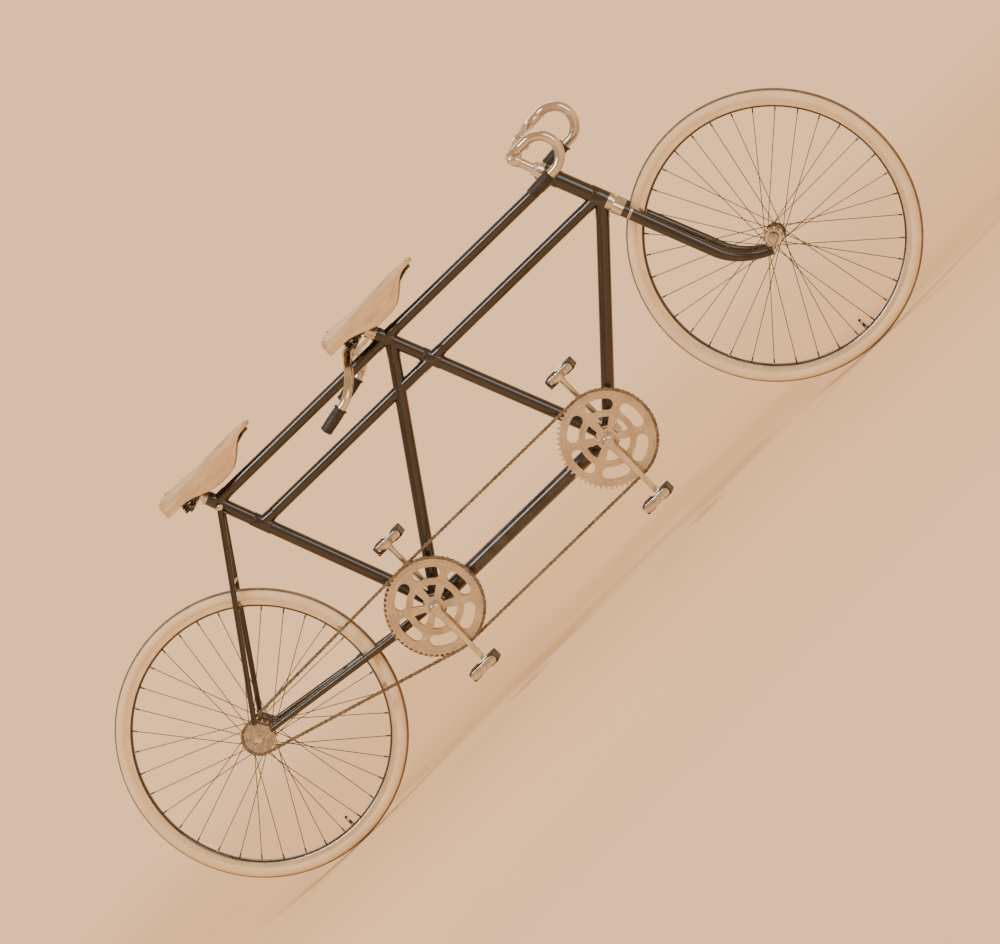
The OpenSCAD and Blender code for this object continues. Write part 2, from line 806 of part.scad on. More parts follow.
// The saddle's own frame has its origin at the middle of the top, with +X to the nose
captain_post = on_captain_seat(top_z + captain_saddle_rise - 46);
stoker_post = on_stoker_seat(top_z + stoker_saddle_rise - 46);
captain_saddle_at = [captain_post[0] + 52, 0, top_z + captain_saddle_rise];
stoker_saddle_at = [stoker_post[0] + 62, 0, top_z + stoker_saddle_rise];

module seatpost(foot, top) {
    difference() {
        rod(foot, top, post_r);
        rod(foot - 2 * unit(top - foot), top - 6 * unit(top - foot), post_r - 2);
    }
}

module captain_seatpost() {
    color("#c9cbcd") seatpost(on_captain_seat(top_z - 130), captain_post);
}

module stoker_seatpost() {
    color("#c9cbcd") seatpost(on_stoker_seat(top_z - 130), stoker_post);
}

// Half width, crown height and skirt depth of the saddle at u, from 0 at the back to 1 at the nose
function end_round(u) = sqrt(max(0.0004, 1 - pow(max(0, 1 - u / 0.1), 2.2))
    * max(0.0004, 1 - pow(max(0, (u - 0.93) / 0.07), 2)));
function saddle_half(u) = end_round(u) * mix(saddle_w / 2, 24, smooth((u - 0.08) / 0.62));
function saddle_top(u) = -3 * smooth((0.5 - abs(u - 0.4)) / 0.5) - 5 * smooth((u - 0.85) / 0.15)
    - 4 * smooth((0.06 - u) / 0.06);
function saddle_skirt(u) = -mix(38, 14, smooth((u - 0.62) / 0.33))
    - 30 * smooth((u - 0.2) / 0.32) * (1 - smooth((u - 0.6) / 0.3));
function saddle_hollow(u) = smooth(u / 0.05) * smooth((0.97 - u) / 0.07);
saddle_stations = 26;
saddle_sides = 14;
leather_t = 4.5;

module saddle_cover() {
    function station(i) = let (u = i / saddle_stations) 0.5 - 0.5 * cos(180 * mix(0.02, 0.98, u));
    function arch(u, k, inset) =
        let (a = 180 * k / saddle_sides, w = max(1, saddle_half(u) - inset),
             top = saddle_top(u) - inset, low = saddle_skirt(u),
             lift = mix(low + 0.4, top, inset > 0 ? saddle_hollow(u) : 1))
        [(u - 0.5) * saddle_l, -w * sign(cos(a)) * pow(abs(cos(a)), 0.55),
         low + (lift - low) * pow(sin(a), 0.42)];
    loop = 2 * (saddle_sides + 1);
    points = [for (i = [0:saddle_stations])
        let (u = station(i))
        each concat([for (k = [0:saddle_sides]) arch(u, k, 0)],
                    [for (k = [saddle_sides:-1:0]) arch(u, k, leather_t * min(1, saddle_half(u) / 20))])];
    skin = [for (i = [0:saddle_stations - 1], k = [0:loop - 1])
        let (j = (k + 1) % loop)
        [i * loop + k, i * loop + j, (i + 1) * loop + j, (i + 1) * loop + k]];
    half = saddle_sides + 1;
    cap0 = [for (k = [0:half - 2]) [k, loop - 1 - k, loop - 2 - k, k + 1]];
    last = saddle_stations * loop;
    cap1 = [for (k = [0:half - 2]) [last + k, last + k + 1, last + loop - 2 - k, last + loop - 1 - k]];
    polyhedron(points, concat(skin, cap0, cap1));
}

module captain_saddle_cover() {
    color("#d8c7a4") translate(captain_saddle_at) saddle_cover();
}

module stoker_saddle_cover() {
    color("#d8c7a4") translate(stoker_saddle_at) saddle_cover();
}

rail_r = 3.5;
rail_y = 22;
rail_z = -48;
cross_bar_z = -63;
spring_r = 14;
spring_wire = 2.2;
spring_turns = 5;
spring_x = -0.29 * saddle_l;
spring_y = 0.3 * saddle_w;
cantle_z = -16;

module coil_spring(h) {
    steps = spring_turns * 14;
    path = [for (k = [0:steps]) let (a = 360 * spring_turns * k / steps)
        [spring_r * cos(a), spring_r * sin(a), h * k / steps]];
    w = [for (k = [0:steps]) spring_wire];
    sweep(path, w, w, [0, 0, 1], 8);
}

// Rails, cross bar, cantle plate and coil springs under a saddle
module saddle_chassis() {
    rail_path = concat(
        [for (k = [0:6])
            bezier2([spring_x, 34, cross_bar_z], [spring_x + 6, 22, rail_z], [-74, rail_y, rail_z], k / 6)],
        [for (k = [0:8])
            bezier2([-20, rail_y, rail_z], [30, 10, rail_z], [0.44 * saddle_l, 6, -17], k / 8)]);
    w = [for (p = rail_path) rail_r];
    spring_low = cross_bar_z + 6;
    both_sides() {
        sweep(rail_path, w, w, [0, 1, 0], 10);
        translate([spring_x, spring_y, 0]) {
            translate([0, 0, spring_low + spring_wire + 0.1])
                coil_spring(cantle_z - spring_low - 2 * spring_wire - 0.2);
            translate([0, 0, cross_bar_z + 2]) cylinder(h = 4, r = spring_r + 3);
        }
    }
    translate([spring_x, 0, cross_bar_z]) y_disc(-spring_y - 4, spring_y + 4, 4.5);
    translate([spring_x - 11, -spring_y - 11, cantle_z]) cube([22, 2 * spring_y + 22, 3]);
}

// Clamp that holds the rails on the post: a ring round the post and a cross bolt
module saddle_clamp(at, foot, top) {
    axis = unit(top - foot);
    x = top[0] + (at[2] + rail_z - top[2]) * axis[0] / axis[2];
    difference() {
        translate([x, 0, at[2] + rail_z]) {
            rod(-7 * axis, 8 * axis, post_r + 2.8);
            y_disc(-rail_y - 7, rail_y + 7, 8.5);
            y_disc(-rail_y - 14, rail_y + 14, 4);
        }
        rod(foot, top + 40 * axis, post_r + play);
        both_sides() translate([x, rail_y, at[2] + rail_z]) rotate([0, 90, 0])
            cylinder(h = 60, r = rail_r + play, center = true);
    }
}

module captain_saddle_chassis() {
    color("#3a3a3c") {
        translate(captain_saddle_at) saddle_chassis();
        saddle_clamp(captain_saddle_at, on_captain_seat(top_z - 130), captain_post);
    }
}

module stoker_saddle_chassis() {
    color("#3a3a3c") {
        translate(stoker_saddle_at) saddle_chassis();
        saddle_clamp(stoker_saddle_at, on_stoker_seat(top_z - 130), stoker_post);
    }
}

// ---------- Stoker's bar, clamped on the captain's seat post ----------

stoker_stem_z = seat_top_z + 8.6;
stoker_reach = 70;
stoker_bar_at = on_captain_seat(stoker_stem_z) + [-stoker_reach, 0, -2];
stoker_sleeve_r = 12.5;
stoker_bar_r = 11;
stoker_bend_end = [-65, stoker_bar_w / 2, -68];
stoker_bar_end = [-130, stoker_bar_w / 2, -82];

module stoker_stem() {
    low = on_captain_seat(stoker_stem_z - 7);
    high = on_captain_seat(stoker_stem_z + 7);
    color("#c9cbcd") difference() {
        union() {
            rod(low, high, post_r + 5);
            translate(on_captain_seat(stoker_stem_z)) y_plate(-9, 9)
                polygon([[0, -7], [-25, -17], [-stoker_reach, -17], [-stoker_reach, -7], [-22, -7], [0, 3]]);
            translate(stoker_bar_at) y_disc(-18, 18, stoker_sleeve_r + 4);
        }
        rod(on_captain_seat(stoker_stem_z - 40), on_captain_seat(stoker_stem_z + 40), post_r + play);
        translate(stoker_bar_at) y_disc(-30, 30, stoker_sleeve_r + play);
        translate(stoker_bar_at + [-40, -30, -0.75]) cube([30, 60, 1.5]);
    }
}

module stoker_bar_half() {
    path = [for (k = [0:16]) bezier3([0, 28, 0], [0, 0.55 * stoker_bar_w / 2, -5],
        stoker_bend_end + [50, 0, 11], stoker_bend_end, k / 16)];
    w = [for (p = path) stoker_bar_r];
    sweep(path, w, w, [0, 0, 1]);
    rod(mix(stoker_bend_end, stoker_bar_end, -0.01), stoker_bar_end, stoker_bar_r);
}

module stoker_bar() {
    color("#c9cbcd") translate(stoker_bar_at) {
        y_disc(-32, 32, stoker_sleeve_r);
        both_sides() stoker_bar_half();
    }
}

module stoker_grip() {
    d = unit(stoker_bar_end - stoker_bend_end);
    start = stoker_bar_end - 62 * d;
    color("#1c1b1a") translate(stoker_bar_at) {
        pipe(start, stoker_bar_end, grip_r, grip_r - stoker_bar_r - play);
        rod(stoker_bar_end, stoker_bar_end + 4 * d, grip_r);
    }
}

module stoker_grip_left() {
    stoker_grip();
}

module stoker_grip_right() {
    mirror([0, 1, 0]) stoker_grip();
}

// ---------- Wheels ----------

seat_r = rim_seat_d / 2;
tyre_r = tyre_section / 2;
flange_t = 2.6;
spoke_r = 1;
elbow_r = 1.2;
rim_inner_r = seat_r - 11.5;
nipple_end_r = seat_r - 7.5;
hole_step = 720 / spoke_count;

function hub_angle(side, j) = (j + side / 2) * hole_step + hole_step / 4;
function rim_angle(side, j) = hub_angle(side, j) + (j % 2 == 0 ? 3 : -3) * hole_step;
// y of the left and right flanges, and the radius of their spoke holes
front_flanges = [33, -33];
rear_flanges = [35, -31];
front_hole_r = 21;
rear_hole_r = 27;

function hub_end(flanges, hole_r, side, j) =
    let (a = hub_angle(side, j), out = (j % 2 == 0 ? 1 : -1) * (flange_t / 2 + elbow_r + 0.8))
    [hole_r * cos(a), flanges[side] + out, hole_r * sin(a)];
function rim_end(side, j) =
    let (a = rim_angle(side, j)) [nipple_end_r * cos(a), side == 0 ? 2.5 : -2.5, nipple_end_r * sin(a)];

module each_spoke() {
    for (side = [0, 1], j = [0:spoke_count / 2 - 1]) {
        $side = side;
        $j = j;
        children();
    }
}

// One laced spoke: head, elbow, shank and nipple
module spoke(flanges, hole_r) {
    p = hub_end(flanges, hole_r, $side, $j);
    q = rim_end($side, $j);
    d = unit(q - p);
    head = [p[0], 2 * flanges[$side] - p[1], p[2]];
    rod(p, q, spoke_r);
    translate(p) sphere(r = elbow_r);
    rod(head, p, spoke_r);
    rod(head, head + unit(head - p) * 1.4, 1.9);
    rod(q - 15 * d, q - 2 * d, 1.9);
    rod(q - 2.2 * d, q, 2.8);
}

module wheel_spokes(flanges, hole_r) {
    each_spoke() spoke(flanges, hole_r);
}

module wheel_rim(flanges, hole_r) {
    difference() {
        rotate([90, 0, 0]) rotate_extrude() difference() {
            polygon([[seat_r + 6, 12], [seat_r - 6, 12], [rim_inner_r, 6], [rim_inner_r, -6],
                     [seat_r - 6, -12], [seat_r + 6, -12], [seat_r + 6, -10.4],
                     [seat_r, -10.4], [seat_r, 10.4], [seat_r + 6, 10.4]]);
            polygon([[seat_r - 1.5, 10.6], [seat_r - 5.4, 10.6], [rim_inner_r + 1.5, 5.2],
                     [rim_inner_r + 1.5, -5.2], [seat_r - 5.4, -10.6], [seat_r - 1.5, -10.6]]);
        }
        each_spoke() {
            p = hub_end(flanges, hole_r, $side, $j);
            q = rim_end($side, $j);
            rod(mix(p, q, 0.9), q, 2.1);
        }
        translate([0, 0, -seat_r - 4]) cylinder(h = 30, r = 4.2);
    }
}

module wheel_tyre() {
    color("#d9cfb6") rotate([90, 0, 0]) rotate_extrude() difference() {
        union() {
            difference() {
                translate([seat_r + tyre_r, 0]) circle(r = tyre_r);
                translate([seat_r + tyre_r, 0]) circle(r = tyre_r - 1.8);
            }
            for (y = [-7.9, 7.9]) translate([seat_r + 2.5, y]) circle(r = 2.2);
        }
        translate([seat_r - 2, -20]) square([2.2, 40]);
        translate([seat_r - 2, -5.6]) square([8, 11.2]);
        for (y = [-30.3, 10.3]) translate([seat_r - 2, y]) square([8.2, 20]);
    }
}

// Inner tube with the valve that comes out through the rim at the bottom
module wheel_tube() {
    tube_r = tyre_r - 2.6;
    color("#2b2a29") difference() {
        union() {
            rotate([90, 0, 0]) rotate_extrude() translate([seat_r + tyre_r + 0.4, 0]) circle(r = tube_r);
            translate([0, 0, -seat_r - 6]) cylinder(h = 40, r = 4);
            translate([0, 0, -seat_r + 30]) cylinder(h = 8, r = 3);
        }
        rotate([90, 0, 0]) rotate_extrude() translate([seat_r + tyre_r + 0.4, 0]) circle(r = tube_r - 1.2);
        translate([0, 0, -seat_r - 10]) cylinder(h = 60, r = 1.5);
    }
}

module hub_shell(flanges, hole_r, barrel_r, half_space, boss_y) {
    end = half_space - 9;
    difference() {
        union() {
            y_disc(-end, end, 14.5);
            y_disc(flanges[1], flanges[0], barrel_r);
            for (y = flanges) y_disc(y - flange_t / 2, y + flange_t / 2, hole_r + 4);
            if (boss_y < 0) y_disc(boss_y, flanges[1], 17);
        }
        y_disc(-half_space - 10, half_space + 10, hub_ball_ring - 1.2);
        both_sides() y_disc(half_space - 14.45, half_space + 10, hub_ball_ring + hub_ball_r + 2 * fine);
        each_spoke() {
            a = hub_angle($side, $j);
            translate([hole_r * cos(a), flanges[$side], hole_r * sin(a)]) y_disc(-3, 3, spoke_r + 0.15);
        }
    }
}

module front_hub() {
    color("#c9cbcd") translate(front_point) hub_shell(front_flanges, front_hole_r, 15, front_half_space, 0);
}

module front_spokes() {
    color("#5f5b57") translate(front_point) wheel_spokes(front_flanges, front_hole_r);
}

module front_rim() {
    color("#2a2826") translate(front_point) wheel_rim(front_flanges, front_hole_r);
}

module front_tyre() {
    translate(front_point) wheel_tyre();
}

module front_inner_tube() {
    translate(front_point) wheel_tube();
}

module rear_hub() {
    color("#c9cbcd") translate(rear_point) hub_shell(rear_flanges, rear_hole_r, 19, rear_half_space, -56);
}

module rear_spokes() {
    color("#5f5b57") translate(rear_point) wheel_spokes(rear_flanges, rear_hole_r);
}

module rear_rim() {
    color("#2a2826") translate(rear_point) wheel_rim(rear_flanges, rear_hole_r);
}

module rear_tyre() {
    translate(rear_point) wheel_tyre();
}

module rear_inner_tube() {
    translate(rear_point) wheel_tube();
}

// ---------- Sprockets ----------

// Outline of a sprocket with n teeth and a roller seat at angle phase
module sprocket_outline(n, r, phase) {
    seat = (roller_d / 2 + 0.08) / cos(18);
    tip_r = r + 3.2;
    half_gap = 180 / n - 1.5 / tip_r * 180 / PI;
    polygon([for (i = [0:n - 1]) let (c = phase + 360 * i / n) each concat(
        [tip_r * [cos(c - half_gap), sin(c - half_gap)]],
        [for (k = [-2:2]) let (f = 36 * k, p = [r - seat * cos(f), seat * sin(f)])
            [p[0] * cos(c) - p[1] * sin(c), p[0] * sin(c) + p[1] * cos(c)]],
        [tip_r * [cos(c + half_gap), sin(c + half_gap)]])]);
}

// A window between two radii, spanning angle on each side of the middle, with rounded ends
module ring_window(r0, r1, half) {
    intersection() {
        difference() {
            circle(r = r1);
            circle(r = r0);
        }
        polygon([[0, 0], 200 * [cos(half), -sin(half)], 200 * [cos(half), sin(half)]]);
    }
    for (s = [-1, 1]) rotate(s * half) translate([(r0 + r1) / 2, 0]) circle(r = (r1 - r0) / 2);
}

module chainring(phase) {
    k = ring_r / 117;
    difference() {
        sprocket_outline(ring_teeth, ring_r, phase);
        circle(r = crank_r);
        for (a = [0:60:300]) rotate(a) {
            ring_window(68 * k, 95 * k, 14);
            polygon(k * [[24, -5], [50, -17], [53, 0], [50, 17], [24, 5]]);
        }
        translate([0, -drive_pin_r]) circle(r = 4);
    }
}

drive_pin_r = 32;

module ring_plate(y, phase) {
    y_plate(y - sprocket_t / 2, y + sprocket_t / 2) chainring(phase);
}

module captain_ring() {
    color("#c3c1bb") translate(captain_bb) ring_plate(timing_y, 90);
}

module stoker_timing_ring() {
    color("#c3c1bb") translate(stoker_bb) ring_plate(timing_y, 90);
}

module stoker_drive_ring() {
    color("#c3c1bb") translate(stoker_bb) ring_plate(drive_y, 90 + drive_tangent + drive_slope);
}

first_cog_link = ceil(ring_wrap(drive_distance) + straight_run(drive_distance));
cog_phase = drive_slope - 90 - drive_tangent
    - (first_cog_link - ring_wrap(drive_distance) - straight_run(drive_distance)) * 360 / cog_teeth;

// Single freewheel: toothed outer body that turns on the hub's boss
module rear_cog() {
    color("#8f8c86") translate(rear_point) difference() {
        union() {
            y_plate(drive_y - sprocket_t / 2, drive_y + sprocket_t / 2)
                sprocket_outline(cog_teeth, cog_r, cog_phase);
            y_disc(-46, -58, 28);
        }
        y_disc(-40, -70, 17.06);
    }
}

// ---------- Cranks and pedals ----------

pedal_y = arm_y + arm_t + 6;

module arm_outline() {
    circle(r = 16);
    polygon([[-9.5, 0], [9.5, 0], [7.5, -crank_length], [-7.5, -crank_length]]);
    translate([0, -crank_length]) circle(r = 13);
}

module pedal_spindle() {
    y_disc(-arm_y, -arm_y - arm_t, pedal_bore_r);
    y_disc(-arm_y - arm_t - play, -arm_y - arm_t - 4, 9);
    y_disc(-arm_y - arm_t, -pedal_y - pedal_len - 6, 5);
    y_hex(-pedal_y - pedal_len - 1, -pedal_y - pedal_len - 5, 13, 5 + play);
}

// One-piece crank with its bearing cones, spacers and both pedal spindles as solids of their own
module crankset(spacers) {
    difference() {
        union() {
            y_disc(-arm_y, arm_y, crank_r);
            y_plate(-arm_y, -arm_y - arm_t) arm_outline();
            mirror([0, 1, 0]) rotate([0, 180, 0]) y_plate(-arm_y, -arm_y - arm_t) arm_outline();
            translate([0, 0, -drive_pin_r]) y_disc(-arm_y, timing_y + sprocket_t / 2, 4);
        }
        translate([0, 0, -crank_length]) y_disc(-arm_y + 1, -arm_y - arm_t - 1, pedal_bore_r + play);
        translate([0, 0, crank_length]) y_disc(arm_y - 1, arm_y + arm_t + 1, pedal_bore_r + play);
    }
    both_sides() difference() {
        union() {
            y_disc(26, 38, bb_ball_ring - bb_ball_r - fine);
            y_disc(36.8, 38, 21);
        }
        y_disc(20, 50, crank_r + play);
    }
    y_disc(38 + play, arm_y - play, 15, crank_r + play);
    for (s = spacers) y_disc(s[0] - play, s[1] + play, 15, crank_r + play);
    translate([0, 0, -crank_length]) pedal_spindle();
    translate([0, 0, crank_length]) mirror([0, 1, 0]) pedal_spindle();
}

half_t = sprocket_t / 2;

module captain_crank() {
    color("#c9cbcd") translate(captain_bb) crankset([[-38, timing_y + half_t], [timing_y - half_t, -arm_y]]);
}

module stoker_crank() {
    color("#c9cbcd") translate(stoker_bb)
        crankset([[-38, timing_y + half_t], [timing_y - half_t, drive_y + half_t], [drive_y - half_t, -arm_y]]);
}

// Rubber block pedal: sleeve, two end plates, two through rods and two rubber blocks
module pedal() {
    block_x = pedal_half_l - 14;
    color("#3b3a39") difference() {
        union() {
            y_disc(-pedal_y, -pedal_y - pedal_len, 9);
            for (y = [-pedal_y - 3, -pedal_y - pedal_len + 3])
                y_plate(y - 1.5, y + 1.5) {
                    square([2 * block_x, 14], center = true);
                    for (x = [-block_x, block_x]) translate([x, 0]) circle(r = 11);
                }
            for (x = [-block_x, block_x]) translate([x, 0, 0]) y_disc(-pedal_y - 1, -pedal_y - pedal_len + 1, 3);
        }
        y_disc(-pedal_y + 1, -pedal_y - pedal_len - 1, 5.05);
    }
    color("#1c1b1a") for (x = [-block_x, block_x]) difference() {
        translate([x - 13.5, -pedal_y - pedal_len + 4.6, -pedal_h / 2]) cube([27, pedal_len - 9.2, pedal_h]);
        translate([x, 0, 0]) y_disc(-pedal_y, -pedal_y - pedal_len, 3 + play);
        y_disc(-pedal_y, -pedal_y - pedal_len, 12.6);
        for (k = [0:5], s = [-1, 1])
            translate([x - 14, -pedal_y - 11 - k * 11.4, s * pedal_h / 2 - 1]) cube([28, 2, 2]);
    }
}

module captain_right_pedal() {
    translate(captain_bb + [0, 0, -crank_length]) pedal();
}

module captain_left_pedal() {
    translate(captain_bb + [0, 0, crank_length]) mirror([0, 1, 0]) pedal();
}

module stoker_right_pedal() {
    translate(stoker_bb + [0, 0, -crank_length]) pedal();
}

module stoker_left_pedal() {
    translate(stoker_bb + [0, 0, crank_length]) mirror([0, 1, 0]) pedal();
}

// ---------- Assembly ----------

head_tube();
top_tube();
lateral_tube();
down_tube();
captain_seat_tube();
stoker_seat_tube();
mid_diagonal();
boom_tube();
captain_bb_shell();
stoker_bb_shell();
chain_stays();
seat_stays();
rear_dropouts();
headset_cups();
bb_cups();
bearing_balls();
seat_binders();
rear_axle();
timing_chain();
drive_chain();
fork_crown();
fork_blades();
fork_ends();
headset_races();
front_axle();
stem();
stem_bolts();
front_bar();
front_grip_left();
front_grip_right();
captain_seatpost();
captain_saddle_chassis();
captain_saddle_cover();
stoker_stem();
stoker_bar();
stoker_grip_left();
stoker_grip_right();
stoker_seatpost();
stoker_saddle_chassis();
stoker_saddle_cover();
front_hub();
front_spokes();
front_rim();
front_tyre();
front_inner_tube();
rear_hub();
rear_spokes();
rear_rim();
rear_tyre();
rear_inner_tube();
rear_cog();
captain_crank();
captain_ring();
stoker_crank();
stoker_timing_ring();
stoker_drive_ring();
captain_right_pedal();
captain_left_pedal();
stoker_right_pedal();
stoker_left_pedal();
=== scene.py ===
import json
import math
import bpy
import bmesh
from mathutils import Matrix, Vector


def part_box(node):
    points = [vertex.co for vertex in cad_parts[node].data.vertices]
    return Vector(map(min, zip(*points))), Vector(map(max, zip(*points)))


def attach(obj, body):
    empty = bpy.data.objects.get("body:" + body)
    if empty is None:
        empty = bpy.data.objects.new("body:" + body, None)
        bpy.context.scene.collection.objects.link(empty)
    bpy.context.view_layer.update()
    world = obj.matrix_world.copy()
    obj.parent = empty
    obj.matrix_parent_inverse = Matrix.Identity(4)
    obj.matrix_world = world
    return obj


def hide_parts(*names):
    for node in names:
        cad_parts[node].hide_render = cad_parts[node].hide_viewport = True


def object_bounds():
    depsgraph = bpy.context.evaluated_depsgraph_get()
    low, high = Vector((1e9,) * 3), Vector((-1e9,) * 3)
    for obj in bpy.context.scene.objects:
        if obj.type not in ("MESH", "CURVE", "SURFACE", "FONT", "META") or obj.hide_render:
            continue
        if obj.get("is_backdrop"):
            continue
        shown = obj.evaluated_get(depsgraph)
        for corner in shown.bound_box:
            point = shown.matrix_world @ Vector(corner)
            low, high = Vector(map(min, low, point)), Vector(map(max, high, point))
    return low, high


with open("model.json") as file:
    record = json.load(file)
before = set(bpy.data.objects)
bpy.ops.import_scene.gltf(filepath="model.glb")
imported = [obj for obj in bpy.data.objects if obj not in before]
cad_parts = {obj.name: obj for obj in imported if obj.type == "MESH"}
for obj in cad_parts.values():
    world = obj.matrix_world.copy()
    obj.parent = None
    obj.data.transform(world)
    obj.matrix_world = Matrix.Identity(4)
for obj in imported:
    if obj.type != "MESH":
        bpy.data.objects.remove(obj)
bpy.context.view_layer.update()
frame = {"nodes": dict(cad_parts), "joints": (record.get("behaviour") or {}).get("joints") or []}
joints = {j["name"]: j for j in frame["joints"]}
MM = 0.001


# ---------- Camera ---------------------------

def make_camera(azimuth, elevation, roll, distance, aim, lens):
    a, e, r = math.radians(azimuth), math.radians(elevation), math.radians(roll)
    back = Vector((math.sin(a) * math.cos(e), -math.cos(a) * math.cos(e), math.sin(e)))
    right = Vector((math.cos(a), math.sin(a), 0))
    up = back.cross(right)
    data = bpy.data.cameras.new("camera")
    data.lens = lens
    data.sensor_width = 36
    data.clip_end = 300
    cam = bpy.data.objects.new("camera", data)
    bpy.context.scene.collection.objects.link(cam)
    x = right * math.cos(r) - up * math.sin(r)
    y = right * math.sin(r) + up * math.cos(r)
    turned = Matrix((x, y, back)).transposed().to_4x4()
    cam.matrix_world = Matrix.Translation(Vector(aim) + back * distance) @ turned
    bpy.context.scene.camera = cam


make_camera(azimuth=11, elevation=4, roll=44.929, distance=40.0,
            aim=(-0.0075, 0.0021, 0.3967), lens=616.742)


# ---------- Node materials ----------

class Shader:
    """A Principled material and short calls that add nodes to it."""

    def __init__(self, name, metallic=0.0, roughness=0.5, **sockets):
        self.mat = bpy.data.materials.new(name)
        self.mat.use_nodes = True
        self.tree = self.mat.node_tree
        self.bsdf = next(n for n in self.tree.nodes if n.type == "BSDF_PRINCIPLED")
        self.set("Metallic", metallic)
        self.set("Roughness", roughness)
        for key, value in sockets.items():
            self.set(key.replace("_", " "), value)
        self.place = self.tree.nodes.new("ShaderNodeTexCoord").outputs["Object"]

    def set(self, socket, value):
        target = self.bsdf.inputs[socket]
        if isinstance(value, bpy.types.NodeSocket):
            self.tree.links.new(value, target)
        else:
            target.default_value = value

    def node(self, kind, inputs, **props):
        n = self.tree.nodes.new(kind)
        for key, value in props.items():
            setattr(n, key, value)
        for key, value in inputs.items():
            if isinstance(value, bpy.types.NodeSocket):
                self.tree.links.new(value, n.inputs[key])
            else:
                n.inputs[key].default_value = value
        return n

    def scaled(self, x, y, z):
        inputs = {0: self.place, 1: (x, y, z)}
        return self.node("ShaderNodeVectorMath", inputs, operation="MULTIPLY").outputs[0]

    def noise(self, scale, detail=4.0, where=None, distortion=0.0):
        n = self.node("ShaderNodeTexNoise", {"Vector": where or self.place, "Scale": scale,
                                             "Detail": detail, "Distortion": distortion})
        return n.outputs["Fac"]

    def cells(self, scale, feature="F1", where=None):
        inputs = {"Vector": where or self.place, "Scale": scale}
        n = self.node("ShaderNodeTexVoronoi", inputs, feature=feature)
        return n.outputs["Distance"]

    def ramp(self, fac, low, high, a=0.0, b=1.0):
        n = self.node("ShaderNodeMapRange", {"Value": fac, "From Min": low, "From Max": high,
                                             "To Min": a, "To Max": b})
        return n.outputs["Result"]

    def math(self, op, a, b=0.0):
        return self.node("ShaderNodeMath", {0: a, 1: b}, operation=op).outputs[0]

    def mix(self, fac, a, b):
        n = self.node("ShaderNodeMix", {}, data_type="RGBA")
        for key, value in ((0, fac), (6, a), (7, b)):
            if isinstance(value, bpy.types.NodeSocket):
                self.tree.links.new(value, n.inputs[key])
            else:
                n.inputs[key].default_value = (*value, 1) if key else value
        return n.outputs[2]

    def bump(self, height, distance, strength=1.0, under=None):
        inputs = {"Height": height, "Distance": distance, "Strength": strength}
        if under:
            inputs["Normal"] = under
        return self.node("ShaderNodeBump", inputs).outputs["Normal"]

    def split(self):
        return self.node("ShaderNodeSeparateXYZ", {0: self.place}).outputs


def paint_material(name, dark, light):
    s = Shader(name, Coat_Weight=0.7, Coat_Roughness=0.06)
    tone = s.ramp(s.noise(9, 5), 0.35, 0.7)
    base = s.mix(tone, dark, light)
    scuff = s.ramp(s.noise(60, 8, s.scaled(1, 1, 6)), 0.69, 0.76)
    base = s.mix(s.math("MULTIPLY", scuff, 0.35), base, (0.16, 0.155, 0.15))
    dust = s.math("MULTIPLY", s.ramp(s.split()[2], 0.42, 0.2), s.ramp(s.noise(35, 8), 0.45, 0.8))
    base = s.mix(s.math("MULTIPLY", dust, 0.35), base, (0.23, 0.19, 0.15))
    s.set("Base Color", base)
    cloud = s.math("ADD", s.noise(22, 6), s.math("MULTIPLY", dust, 0.5))
    s.set("Roughness", s.ramp(cloud, 0.3, 1.1, 0.16, 0.5))
    peel = s.bump(s.noise(420, 2), 0.00012, 0.35)
    s.set("Normal", s.bump(s.noise(38, 3), 0.0004, 0.12, peel))
    return s.mat


def plated_material(name, bright, dull, smooth, rough):
    s = Shader(name, metallic=1.0)
    haze = s.ramp(s.noise(26, 7), 0.35, 0.75)
    base = s.mix(haze, bright, dull)
    pits = s.ramp(s.cells(900), 0.16, 0.05)
    spots = s.math("MULTIPLY", pits, s.ramp(s.noise(14, 4), 0.58, 0.7))
    base = s.mix(s.math("MULTIPLY", spots, 0.8), base, (0.17, 0.11, 0.065))
    s.set("Base Color", base)
    s.set("Roughness", s.ramp(s.noise(48, 8), 0.3, 0.75, smooth, rough))
    fine = s.bump(s.noise(90, 6, s.scaled(1, 14, 1)), 0.00006, 0.3)
    s.set("Normal", s.bump(s.noise(17, 2), 0.0005, 0.08, fine))
    return s.mat


def steel_material(name, dark, light, low, high, metallic=1.0, grime=0.4):
    s = Shader(name, metallic=metallic)
    base = s.mix(s.ramp(s.noise(70, 8), 0.35, 0.7), dark, light)
    oil = s.ramp(s.noise(190, 6), 0.5, 0.72)
    base = s.mix(s.math("MULTIPLY", oil, grime), base, (0.035, 0.026, 0.02))
    s.set("Base Color", base)
    s.set("Roughness", s.ramp(s.noise(130, 6), 0.3, 0.75, low, high))
    s.set("Normal", s.bump(s.noise(800, 4), 0.0001, 0.4))
    return s.mat


